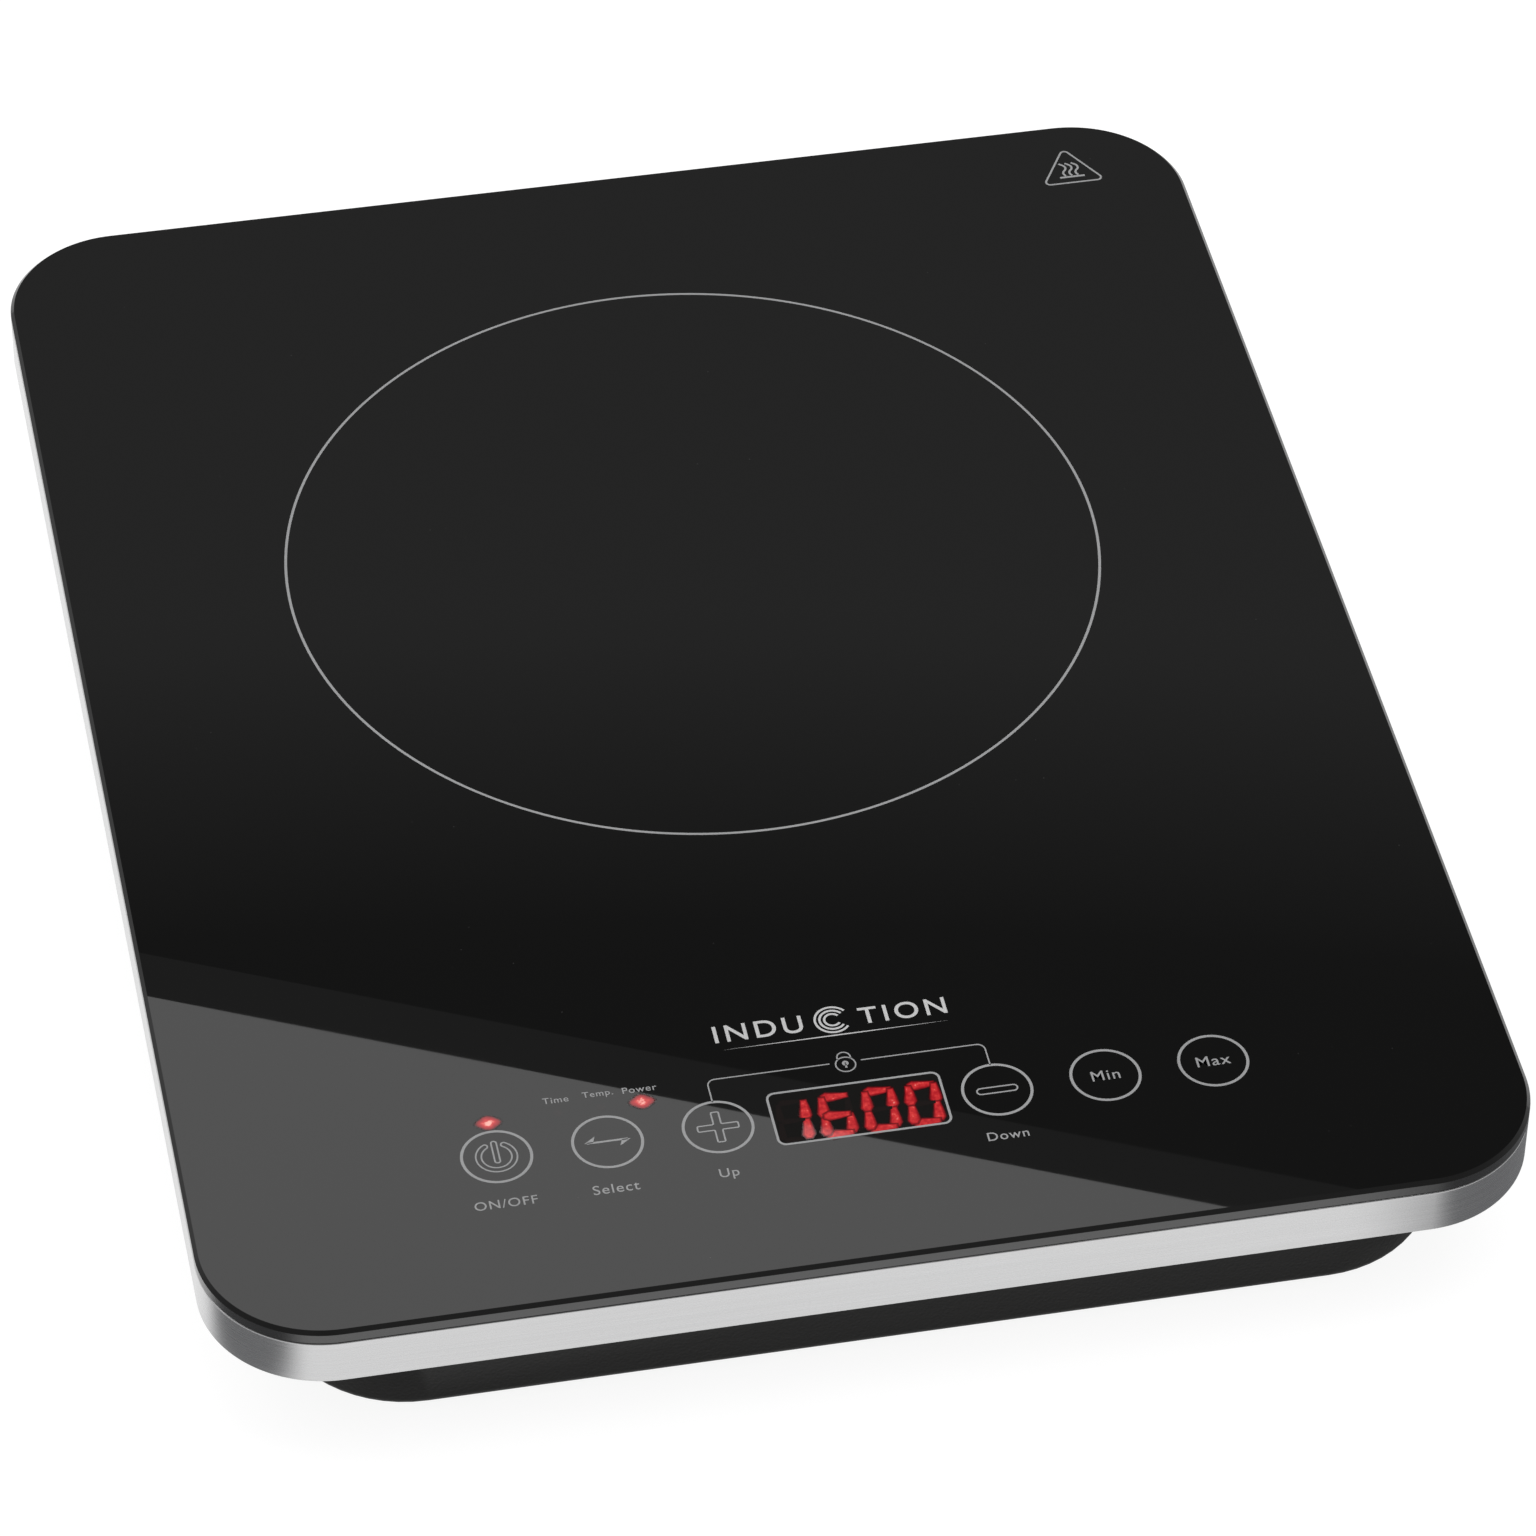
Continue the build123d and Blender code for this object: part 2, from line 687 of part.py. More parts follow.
# ---- write every node ----
nodes = {
    "glass_plate": glass_plate,
    "glass_adhesive": glass_adhesive,
    "upper_frame": upper_frame,
    "trim_band": trim_band,
    "lower_housing": lower_housing,
    "rating_label": rating_label,
    "housing_screws": housing_screws,
    "cord_gland": cord_gland,
    "mica_sheet": mica_sheet,
    "coil_winding": coil_winding,
    "coil_former": coil_former,
    "ferrite_bars": ferrite_bars,
    "coil_springs": coil_springs,
    "coil_screws": coil_screws,
    "temperature_sensor": temperature_sensor,
    "sensor_holder": sensor_holder,
    "sensor_lead": sensor_lead,
    "coil_leads": coil_leads,
    "fan_frame": fan_frame,
    "fan_impeller": fan_impeller,
    "fan_magnet": fan_magnet,
    "fan_shaft": fan_shaft,
    "fan_bearing": fan_bearing,
    "fan_stator_core": fan_stator_core,
    "fan_windings": fan_windings,
    "fan_circuit_board": fan_circuit_board,
    "fan_screws": fan_screws,
    "fan_lead": fan_lead,
    "power_board": power_board,
    "power_board_screws": power_board_screws,
    "heatsink": heatsink,
    "choke_core": choke_core,
    "choke_winding": choke_winding,
    "electrolytic_capacitors": electrolytic_capacitors,
    "fuse": fuse,
    "transformer_core": transformer_core,
    "transformer_winding": transformer_winding,
    "buzzer": buzzer,
    "coil_terminals": coil_terminals,
    "mains_terminals": mains_terminals,
    "board_connectors": board_connectors,
    "ribbon_cable": ribbon_cable,
    "control_tray": control_tray,
    "control_board": control_board,
    "control_board_screws": control_board_screws,
    "display_module": display_module,
    "indicator_leds": indicator_leds,
    "touch_springs": touch_springs,
    "microcontroller": microcontroller,
}
for name, make in nodes.items():
    save(name, make())

save("power_transistor", power_package(heatsink_x - 10))
save("bridge_rectifier", power_package(heatsink_x + 10))
save("dc_link_capacitor", film_capacitor(60.0, -90.0, 31, 13, 20))
save("resonant_capacitor", film_capacitor(62.0, -68.0, 31, 18, 20))
save("filter_capacitor", film_capacitor(64.0, -49.0, 18, 8, 14))
for row, y in (("front", -foot_y), ("rear", foot_y)):
    for side, x in (("left", -foot_x), ("right", foot_x)):
        save(f"foot_{row}_{side}", rubber_foot(x, y))
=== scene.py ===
# %% [markdown]
# # A portable induction hob
# The real object is a slab of black glass-ceramic on an aluminium band and a moulded base. The
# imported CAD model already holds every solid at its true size, so this file gives it its looks:
# smooth edges, printed markings, a lit display, and a surface for each material inside and out.

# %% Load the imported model
import json
from math import acos, ceil, cos, pi, radians, sin, sqrt

import bmesh
import bpy
from mathutils import Matrix, Quaternion, Vector

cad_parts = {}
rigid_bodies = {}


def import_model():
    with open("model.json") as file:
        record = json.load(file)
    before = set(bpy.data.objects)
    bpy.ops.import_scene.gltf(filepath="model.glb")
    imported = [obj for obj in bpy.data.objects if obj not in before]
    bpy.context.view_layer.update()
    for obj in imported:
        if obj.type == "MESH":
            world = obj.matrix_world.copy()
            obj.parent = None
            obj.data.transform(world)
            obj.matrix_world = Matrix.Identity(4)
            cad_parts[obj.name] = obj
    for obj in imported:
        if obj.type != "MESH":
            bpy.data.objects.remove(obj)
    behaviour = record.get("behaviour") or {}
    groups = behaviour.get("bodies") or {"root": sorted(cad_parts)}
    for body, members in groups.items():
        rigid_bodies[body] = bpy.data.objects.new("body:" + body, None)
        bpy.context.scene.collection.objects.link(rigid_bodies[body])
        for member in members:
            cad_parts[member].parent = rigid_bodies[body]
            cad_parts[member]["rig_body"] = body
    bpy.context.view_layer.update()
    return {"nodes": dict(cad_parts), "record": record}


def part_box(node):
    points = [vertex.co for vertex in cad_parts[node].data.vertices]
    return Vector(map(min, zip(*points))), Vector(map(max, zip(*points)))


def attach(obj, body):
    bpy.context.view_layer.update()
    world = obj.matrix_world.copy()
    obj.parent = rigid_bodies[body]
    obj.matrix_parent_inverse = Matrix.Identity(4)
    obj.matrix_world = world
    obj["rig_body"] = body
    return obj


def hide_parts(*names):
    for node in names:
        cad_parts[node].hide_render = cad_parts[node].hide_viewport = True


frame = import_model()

mm = 0.001
micron = 0.000001
nodes = frame["nodes"]
scene = bpy.context.scene
glass_low, glass_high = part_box("glass_plate")
glass_top = glass_high.z
print("CAD nodes:", len(nodes), "glass top at", round(glass_top / mm, 2), "mm")

# %% [markdown]
# ## Camera
# A long lens far away keeps the slab's edges almost parallel, as a catalogue picture does. The
# camera is aimed at a point on the glass, then rolled a little about its own view line. Its eye and
# its aim are raised together, which slides the object down in the picture.

# %% Camera
view_shift = Vector((0, 0, 0.26 * mm))
eye = Vector((-0.2406, -1.1762, 1.1376)) + view_shift
aim = Vector((0.0027, -0.0310, glass_top)) + view_shift
roll = Quaternion((0, 0, 1), radians(1.04))
lens = bpy.data.cameras.new("studio_camera")
lens.lens = 173.1
lens.sensor_width = 36.0
camera = bpy.data.objects.new("studio_camera", lens)
camera.rotation_mode = "QUATERNION"
camera.location = eye
camera.rotation_quaternion = (aim - eye).to_track_quat("-Z", "Y") @ roll
scene.collection.objects.link(camera)
scene.camera = camera
print("camera is", round((aim - eye).length, 3), "m from the glass")

# %% [markdown]
# ## Node helpers
# Most of a material is nodes joined by links. These helpers place one node each and take either a
# number or another node's output for every input, so a material reads from top to bottom.


# %% Node helpers
def wire(tree, kind, settings=None, **inputs):
    """Places a node. Each input is named with underscores for spaces."""
    node = tree.nodes.new("ShaderNode" + kind)
    for key, value in (settings or {}).items():
        setattr(node, key, value)
    for key, value in inputs.items():
        feed(tree, node.inputs[key.replace("_", " ")], value)
    return node


def feed(tree, socket, value):
    """Joins another node's output to an input, or stores a plain value on it."""
    if isinstance(value, bpy.types.NodeSocket):
        tree.links.new(value, socket)
    else:
        socket.default_value = value


def combine(tree, operation, first, second):
    """One step of arithmetic on two values."""
    node = wire(tree, "Math", {"operation": operation})
    feed(tree, node.inputs[0], first)
    feed(tree, node.inputs[1], second)
    return node.outputs[0]


def spread(tree, value, low, high, start=0.0, end=1.0):
    """Carries the range from start to end over to low to high."""
    node = wire(tree, "MapRange", Value=value, From_Min=start, From_Max=end, To_Min=low, To_Max=high)
    return node.outputs["Result"]


def on_vectors(tree, operation, first, second):
    """One step of arithmetic on two vectors."""
    node = wire(tree, "VectorMath", {"operation": operation})
    feed(tree, node.inputs[0], first)
    feed(tree, node.inputs[1], second)
    return node.outputs[0]


def length_of(tree, vector):
    return wire(tree, "VectorMath", {"operation": "LENGTH"}, Vector=vector).outputs["Value"]


def raised(tree, height, depth):
    """The normal of a face on which a height of 1 stands depth metres above a height of 0."""
    return wire(tree, "Bump", Strength=1.0, Distance=depth, Height=height).outputs["Normal"]


def mix_colors(tree, factor, first, second, blend="MIX"):
    """The first colour, with the second laid over it as far as factor says."""
    node = wire(tree, "Mix", {"data_type": "RGBA", "blend_type": blend})
    for index, value in ((0, factor), (6, first), (7, second)):
        feed(tree, node.inputs[index], value)
    return node.outputs[2]


def ramp(tree, value, stops):
    """A colour for each place along a value: stops are (place, grey or colour)."""
    node = wire(tree, "ValToRGB", Fac=value)
    bands = node.color_ramp.elements
    while len(bands) < len(stops):
        bands.new(0.5)
    for band, (place, shade) in zip(bands, stops):
        band.position = place
        band.color = (*shade, 1) if isinstance(shade, tuple) else (shade, shade, shade, 1)
    return node.outputs["Color"]


def here(tree, size=(1, 1, 1)):
    """The place on the object in metres, stretched by size."""
    return on_vectors(tree, "MULTIPLY", wire(tree, "TexCoord").outputs["Object"], size)


def noise(tree, place, scale, detail, **more):
    """Soft random blotches from 0 to 1, about scale of them in a metre."""
    node = wire(tree, "TexNoise", Vector=place, Scale=scale, Detail=detail, **more)
    return node.outputs["Fac"]


def group_tree(name, inputs, outputs):
    """An empty shader node group with named sockets, and its two ends."""
    tree = bpy.data.node_groups.new(name, "ShaderNodeTree")
    kinds = {"value": "NodeSocketFloat", "color": "NodeSocketColor", "vector": "NodeSocketVector"}
    for label, kind in inputs.items():
        tree.interface.new_socket(label, in_out="INPUT", socket_type=kinds[kind])
    for label, kind in outputs.items():
        tree.interface.new_socket(label, in_out="OUTPUT", socket_type=kinds[kind])
    return tree, tree.nodes.new("NodeGroupInput").outputs, tree.nodes.new("NodeGroupOutput").inputs


def use_group(tree, group, **inputs):
    """Places a group in a tree and returns its outputs."""
    node = tree.nodes.new("ShaderNodeGroup")
    node.node_tree = group
    for key, value in inputs.items():
        feed(tree, node.inputs[key.replace("_", " ")], value)
    return node.outputs


# %% [markdown]
# ## Shared surface effects
# Three effects come up again and again on an appliance. Moulded parts carry the spark-eroded grain
# of their tool, its pits darkened as painted shade; rolled or extruded metal has lines along its
# length, and anything smooth collects faint wipe marks and dust. Each one is a node group, placed in
# a material with its own values.


# %% Grain of a moulded part
def tone_and_roughen(tree, shade, factor):
    """Darkens or lightens the group's colour by a grey, and multiplies its roughness."""
    tone = wire(tree, "CombineColor", Red=shade, Green=shade, Blue=shade).outputs[0]
    feed(tree, made["Color"], mix_colors(tree, 1.0, given["Color"], tone, "MULTIPLY"))
    feed(tree, made["Roughness"], combine(tree, "MULTIPLY", given["Roughness"], factor))


moulded, given, made = group_tree(
    "moulded_grain",
    {"Color": "color", "Roughness": "value", "Grain Scale": "value", "Grain Depth": "value"},
    {"Color": "color", "Roughness": "value", "Normal": "vector"},
)
blotch = noise(moulded, here(moulded), 22.0, 4.0)
fine = noise(moulded, here(moulded), given["Grain Scale"], 3.0)
pits = wire(moulded, "TexVoronoi", {"feature": "SMOOTH_F1"}, Vector=here(moulded))
feed(moulded, pits.inputs["Scale"], given["Grain Scale"])
height = combine(moulded, "ADD", fine, pits.outputs["Distance"])
# The colour is darker where the grain is low: painted shade in its pits, on top of a random tone.
pit_shade = spread(moulded, height, 0.9, 1.08, 0.4, 1.4)
shade = combine(moulded, "MULTIPLY", spread(moulded, blotch, 0.86, 1.12), pit_shade)
tone_and_roughen(moulded, shade, spread(moulded, blotch, 0.9, 1.1))
feed(moulded, made["Normal"], raised(moulded, height, given["Grain Depth"]))
print("group", moulded.name)

# %% Lines of a drawn or brushed metal
brushed, given, made = group_tree(
    "brushed_lines",
    {"Color": "color", "Roughness": "value", "Line Scale": "vector", "Line Depth": "value"},
    {"Color": "color", "Roughness": "value", "Normal": "vector"},
)
stretched = on_vectors(brushed, "MULTIPLY", here(brushed), given["Line Scale"])
lines = noise(brushed, stretched, 1.0, 5.0, Roughness=0.65)
cloud = noise(brushed, here(brushed), 14.0, 3.0)
on_lines = spread(brushed, lines, 0.93, 1.06, 0.25, 0.75)
shade = combine(brushed, "MULTIPLY", on_lines, spread(brushed, cloud, 0.97, 1.03))
tone_and_roughen(brushed, shade, spread(brushed, lines, 0.8, 1.2, 0.25, 0.75))
feed(brushed, made["Normal"], raised(brushed, lines, given["Line Depth"]))
print("group", brushed.name)

# %% Wipe marks and dust on a polished face
polished, given, made = group_tree(
    "wipe_marks",
    {"Color": "color", "Roughness": "value", "Dust": "value"},
    {"Color": "color", "Roughness": "value"},
)
swirl = noise(polished, here(polished, (9, 22, 9)), 1.0, 5.0, Distortion=1.2)
specks = wire(polished, "TexVoronoi", Vector=here(polished), Scale=260.0)
speck = spread(polished, specks.outputs["Distance"], 1.0, 0.0, 0.02, 0.05)
sparse = noise(polished, here(polished), 60.0, 2.0)
dust = combine(polished, "MULTIPLY", speck, spread(polished, sparse, 0.0, 1.0, 0.55, 0.7))
dust = combine(polished, "MULTIPLY", dust, given["Dust"])
feed(polished, made["Color"], mix_colors(polished, dust, given["Color"], (0.3, 0.3, 0.3, 1)))
marks = spread(polished, swirl, 0.6, 1.9, 0.3, 0.75)
wiped = combine(polished, "MULTIPLY", given["Roughness"], marks)
feed(polished, made["Roughness"], combine(polished, "ADD", wiped, dust))
print("group", polished.name)

# %% [markdown]
# ## Materials
# One function per family of finish: it makes a Principled material, places the family's effect
# group in it with its own values, and keeps plain numbers on the shader itself.


# %% Material families
finish = {}


def new_material(name, roughness=0.5, metallic=0.0, **plain):
    """An empty Principled material, filed under its slot's name. Plain values go on the shader."""
    material = bpy.data.materials.new(name)
    material.use_nodes = True
    shader = material.node_tree.nodes["Principled BSDF"]
    shader.inputs["Roughness"].default_value = roughness
    shader.inputs["Metallic"].default_value = metallic
    for key, value in plain.items():
        shader.inputs[key.replace("_", " ")].default_value = value
    finish[name] = material
    return material.node_tree, shader


def connect(tree, shader, outputs):
    """Feeds a group's outputs to the shader's inputs of the same names."""
    names = {"Color": "Base Color", "Roughness": "Roughness", "Normal": "Normal"}
    for output in outputs:
        tree.links.new(output, shader.inputs[names[output.name]])


def moulded_material(name, color, roughness, scale, depth, **plain):
    """A moulded or fired finish, with its grain's scale per metre and depth in microns."""
    tree, shader = new_material(name, **plain)
    grain = {"Grain_Scale": scale, "Grain_Depth": depth * micron}
    connect(tree, shader, use_group(tree, moulded, Color=(*color, 1), Roughness=roughness, **grain))


def metal_material(name, color, roughness, lines, depth=10, **plain):
    """A metal, with its lines' scale along x, y and z, and their depth in microns."""
    tree, shader = new_material(name, metallic=1.0, **plain)
    drawn = {"Line_Scale": lines, "Line_Depth": depth * micron}
    connect(tree, shader, use_group(tree, brushed, Color=(*color, 1), Roughness=roughness, **drawn))
    return tree, shader


def polished_material(name, color, roughness, dust=0.0, **plain):
    """A glossy finish, with faint wipe marks and as much dust as asked for."""
    tree, shader = new_material(name, **plain)
    connect(tree, shader, use_group(tree, polished, Color=(*color, 1), Roughness=roughness, Dust=dust))


# %% [markdown]
# ## Glass-ceramic
# The plate is black right through and polished on top. Its edge is ground and then only half
# polished. It mirrors the bright table as a soft grey line, so it has a finish of its own.

# %% Glass-ceramic
polished_material("glass_ceramic", (0.003, 0.003, 0.0029), 0.007, 0.12, IOR=1.5)
moulded_material("glass_edge", (0.009, 0.009, 0.0092), 0.22, 1400, 10, Specular_IOR_Level=1.0, IOR=1.5)
print("glass finishes ready")

# %% [markdown]
# ## Ink and light on the glass
# The markings are a fired ceramic ink, slightly rough, so they stay visible where the glass only
# mirrors. A matt tint covers the display window, so that the room's lights don't wash it out. The
# display and the lamps glow: each lit shape stores how strongly it glows at each vertex, from 0
# at the rim of its halo to 1 in its core, and a ramp turns that into a red.

# %% Ink and lamp light
moulded_material("print_ink", (0.3, 0.302, 0.306), 0.42, 5000, 4, IOR=1.5)
moulded_material("print_ink_bright", (0.5, 0.5, 0.5), 0.35, 5000, 4, IOR=1.5)
moulded_material("window_tint", (0.0052, 0.0048, 0.0044), 0.5, 5000, 2, Specular_IOR_Level=0.05)
moulded_material("segment_off", (0.009, 0.0062, 0.0058), 0.5, 5000, 2, Specular_IOR_Level=0.05)
polished_material("lamp_off", (0.008, 0.005, 0.005), 0.02, IOR=1.5)

tree, shader = new_material("lamp_light", roughness=0.02, IOR=1.5, Emission_Strength=1.0)
shader.inputs["Base Color"].default_value = (0.004, 0.003, 0.003, 1)
glow = wire(tree, "Attribute", {"attribute_name": "glow"}).outputs["Fac"]
ripple = spread(tree, noise(tree, here(tree), 900.0, 2.0), 0.75, 1.25)
glow = combine(tree, "MULTIPLY", glow, ripple)
red_heat = [
    (0.0, 0.0),
    (0.3, (0.06, 0.0, 0.002)),
    (0.55, (0.25, 0.002, 0.006)),
    (0.78, (0.44, 0.009, 0.016)),
    (0.9, (0.66, 0.035, 0.035)),
    (1.0, (1.0, 0.45, 0.38)),
]
tree.links.new(ramp(tree, glow, red_heat), shader.inputs["Emission Color"])
tree.links.new(spread(tree, glow, 0.0, 1.0, 0.0, 0.4), shader.inputs["Alpha"])
print("inks and lights:", ", ".join(name for name in finish if not name.startswith("glass")))

# %% [markdown]
# ## Metals
# The band is a satin anodised extrusion, brushed along its length. Its lines are noise that changes
# fast with height and slowly along the sides, so they run round the corners unbroken.

# %% Metals
metal_material("band_aluminium", (0.585, 0.585, 0.588), 0.27, (14, 14, 5200), 2)
metal_material("heatsink_aluminium", (0.68, 0.68, 0.69), 0.38, (2600, 20, 2600))
metal_material("zinc_screw", (0.66, 0.65, 0.6), 0.36, (500, 500, 500))
metal_material("spring_steel", (0.56, 0.56, 0.57), 0.3, (900, 900, 900))
metal_material("shaft_steel", (0.62, 0.62, 0.63), 0.2, (20, 20, 6000), 4)
metal_material("brass_sleeve", (0.66, 0.47, 0.2), 0.42, (1500, 1500, 1500), 20)
metal_material("lamination_steel", (0.3, 0.3, 0.31), 0.45, (10, 10, 2200), 80)
metal_material("terminal_metal", (0.74, 0.74, 0.72), 0.22, (300, 300, 1200), 6)
metal_material("copper_wire", (0.72, 0.29, 0.13), 0.28, (1600, 1600, 1600), 20, Coat_Weight=0.6)
metal_material("capacitor_can", (0.05, 0.06, 0.16), 0.3, (30, 30, 1500), 6, Coat_Weight=0.4)
moulded_material("black_screw", (0.025, 0.025, 0.026), 0.34, 2600, 20, metallic=0.6)
print("metals ready")

# %% [markdown]
# The coil's litz wire is a rope of thin strands. Seen from the coil's middle, a strand climbs with
# the angle as it crosses the turn, so a sine of angle and distance together gives slanting strands.
# The angle's factor is a whole number, so that the pattern meets itself after one turn.

# %% Litz wire
strand_turns = 480          # strands met on one trip round the coil
strand_slant = 8900.0       # radians of the pattern per metre outwards
strand_depth = 60 * micron
coil_low, coil_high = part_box("coil_winding")
coil_middle = (coil_low + coil_high) / 2
litz_lines = (1200, 1200, 1200)
tree, shader = metal_material("copper_litz", (0.74, 0.33, 0.16), 0.36, litz_lines, Coat_Weight=0.3)
from_middle = on_vectors(tree, "SUBTRACT", here(tree), coil_middle)
distance = length_of(tree, on_vectors(tree, "MULTIPLY", from_middle, (1, 1, 0)))
sides = wire(tree, "SeparateXYZ", Vector=from_middle).outputs
round_the_coil = combine(tree, "MULTIPLY", combine(tree, "ARCTAN2", sides["Y"], sides["X"]), strand_turns)
phase = combine(tree, "ADD", round_the_coil, combine(tree, "MULTIPLY", distance, strand_slant))
strands = combine(tree, "SINE", phase, 0.0)
feed(tree, shader.inputs["Normal"], raised(tree, strands, strand_depth))
print("litz strands run", round(2 * pi / strand_slant / mm, 2), "mm apart")

# %% [markdown]
# ## Plastics, rubbers and the rest
# These differ in colour, in how rough they are and in how coarse their grain is, so each is one
# line. The ones with a pattern of their own follow them.

# %% Plastics and rubbers
moulded_material("housing_plastic", (0.0085, 0.0085, 0.0081), 0.46, 1500, 50, Specular_IOR_Level=0.09)
moulded_material("frame_plastic", (0.025, 0.025, 0.026), 0.5, 1500, 60)
moulded_material("former_plastic", (0.035, 0.035, 0.037), 0.48, 900, 80)
moulded_material("fan_plastic", (0.018, 0.018, 0.019), 0.3, 1200, 30)
moulded_material("epoxy_black", (0.02, 0.02, 0.021), 0.42, 2200, 40)
moulded_material("display_body", (0.02, 0.019, 0.019), 0.4, 1800, 30)
moulded_material("foot_rubber", (0.018, 0.018, 0.019), 0.68, 1900, 80)
moulded_material("black_rubber", (0.016, 0.016, 0.017), 0.6, 1700, 60)
moulded_material("wire_black", (0.02, 0.02, 0.02), 0.45, 900, 30)
moulded_material("silicone", (0.015, 0.015, 0.016), 0.55, 700, 100)
moulded_material("ferrite", (0.045, 0.045, 0.05), 0.55, 1300, 100)
moulded_material("choke_green", (0.05, 0.26, 0.12), 0.32, 700, 60)
moulded_material("sensor_ceramic", (0.78, 0.75, 0.68), 0.5, 1600, 50)
moulded_material("sensor_silicone", (0.62, 0.6, 0.55), 0.5, 900, 40, Subsurface_Weight=0.1)
moulded_material("sleeve_white", (0.74, 0.71, 0.63), 0.42, 800, 40, Subsurface_Weight=0.1)
moulded_material("connector_white", (0.76, 0.75, 0.7), 0.4, 1500, 30, Subsurface_Weight=0.05)
moulded_material("capacitor_blue", (0.05, 0.13, 0.36), 0.28, 1100, 30)
moulded_material("tape_yellow", (0.74, 0.52, 0.09), 0.26, 500, 40, Coat_Weight=0.4)
moulded_material("capacitor_yellow", (0.7, 0.5, 0.07), 0.26, 500, 40, Coat_Weight=0.4)
polished_material("led_red", (0.5, 0.02, 0.02), 0.12, Transmission_Weight=0.4, IOR=1.5)
polished_material("fuse_glass", (0.9, 0.92, 0.92), 0.05, Transmission_Weight=0.9, IOR=1.5)
print("slots with a finish:", len(finish))

# %% [markdown]
# ## Patterned finishes
# A circuit board's lacquer shows the copper tracks under it as a lighter, raised net. A brick
# texture with thin mortar gives right-angled runs, and a noise breaks them up. Mica is pressed
# flakes, a braided sleeve is crossed threads, and a flat cable is a row of parallel cores, with
# painted shade in the valleys between them.


# %% Patterned finishes
def patterned(tree, shader, color, height, depth):
    """Gives a material its pattern, as a colour and as a height, its depth in microns."""
    feed(tree, shader.inputs["Base Color"], color)
    feed(tree, shader.inputs["Normal"], raised(tree, height, depth * micron))


tree, shader = new_material("board_green", roughness=0.3, Coat_Weight=0.5)
place = here(tree)
tracks = wire(tree, "TexBrick", Vector=place, Scale=90.0, Mortar_Size=0.06, Brick_Width=1.7, Row_Height=0.45)
broken = noise(tree, place, 70.0, 1.0)
net = combine(tree, "MULTIPLY", tracks.outputs["Fac"], combine(tree, "GREATER_THAN", broken, 0.48))
weave = noise(tree, here(tree, (2500, 900, 900)), 1.0, 1.0)
lacquer = mix_colors(tree, net, (0.012, 0.12, 0.04, 1), (0.03, 0.24, 0.08, 1))
lacquer = mix_colors(tree, spread(tree, weave, 0.0, 0.25), lacquer, (0.02, 0.08, 0.04, 1))
patterned(tree, shader, lacquer, net, 40)

tree, shader = new_material("mica", roughness=0.45)
flake = wire(tree, "TexVoronoi", Vector=here(tree), Scale=230.0).outputs["Distance"]
color = ramp(tree, flake, [(0.0, (0.62, 0.54, 0.4)), (1.0, (0.42, 0.35, 0.25))])
patterned(tree, shader, color, flake, 40)

tree, shader = new_material("sensor_wire", roughness=0.7)
braid = wire(tree, "TexChecker", Vector=here(tree), Scale=1600.0)
feed(tree, braid.inputs["Color1"], (0.75, 0.74, 0.7, 1))
feed(tree, braid.inputs["Color2"], (0.5, 0.49, 0.46, 1))
patterned(tree, shader, braid.outputs["Color"], braid.outputs["Fac"], 60)

tree, shader = new_material("ribbon_grey", roughness=0.45)
cores = wire(tree, "TexWave", {"bands_direction": "X"}, Vector=here(tree), Scale=250.0).outputs["Fac"]
# The low valleys between the cores are painted darker: painted shade, not the cable's own colour.
color = ramp(tree, cores, [(0.0, (0.2, 0.2, 0.21)), (0.4, (0.5, 0.5, 0.51))])
patterned(tree, shader, color, cores, 200)

polished_material("label_film", (0.3, 0.305, 0.31), 0.32, IOR=1.45)
print("slots with a finish:", len(finish))

# %% [markdown]
# ## CAD pieces with joined faces
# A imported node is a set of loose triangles, so a curve on it shades as flat facets. A copy whose
# triangles are joined can shade smoothly: edges sharper than 30 degrees stay crisp and the rest
# blend. A plain blend would bend the light on a broad face that ends in a small round, so the
# normals are weighted by area. Everything whose shape is already right is finished by one loop.

# %% Join and smooth the CAD pieces
slot_of = {part["node"]: part["material_slot"] for part in frame["record"]["subparts"]}
feet = sorted(name for name in nodes if name.startswith("foot_"))
remade = {"glass_plate", "trim_band", "coil_winding", *feet}


def put(name, bm, slot, body="chassis", material=None, crease=30):
    """Makes a finished object of a mesh that is already in place, in metres."""
    mesh = bpy.data.meshes.new(name)
    bm.to_mesh(mesh)
    bm.free()
    mesh.shade_smooth()
    mesh.set_sharp_from_angle(angle=radians(crease))
    mesh.materials.append(finish[material or slot])
    piece = bpy.data.objects.new(name, mesh)
    scene.collection.objects.link(piece)
    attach(piece, body)
    return piece


def join_ends(bm, near=0.001):
    """Merges vertices that lie on each other."""
    bmesh.ops.remove_doubles(bm, verts=bm.verts, dist=near)


def to_metres(bm):
    bmesh.ops.scale(bm, vec=(mm, mm, mm), verts=bm.verts)


def verts_in(result):
    """The vertices in the mixed list that a mesh operator returns."""
    return [part for part in result if isinstance(part, bmesh.types.BMVert)]


def flat_faces_lead(piece):
    """Keeps big flat faces flat where they run into a small round: their normals count for more."""
    weights = piece.modifiers.new("flat_faces_lead", "WEIGHTED_NORMAL")
    weights.weight = 100
    weights.keep_sharp = True


for name in sorted(set(nodes) - remade):
    bm = bmesh.new()
    bm.from_mesh(nodes[name].data)
    join_ends(bm, 0.001 * mm)
    piece = put(name + "_finish", bm, slot_of[name], nodes[name]["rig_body"])
    flat_faces_lead(piece)
    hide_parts(name)
print("smoothed copies of", len(nodes) - len(remade), "nodes")

# %% [markdown]
# ## Walking an outline
# Much of this object is one section carried along a path: the band round the glass, and every
# printed line. `walk` takes some edges and drags them: a one-number move extrudes them straight
# on, a two-number move spins them round a bend of that radius by that many degrees. Every bend is
# cut fine enough that it never strays a hundredth of a millimetre from the true arc.


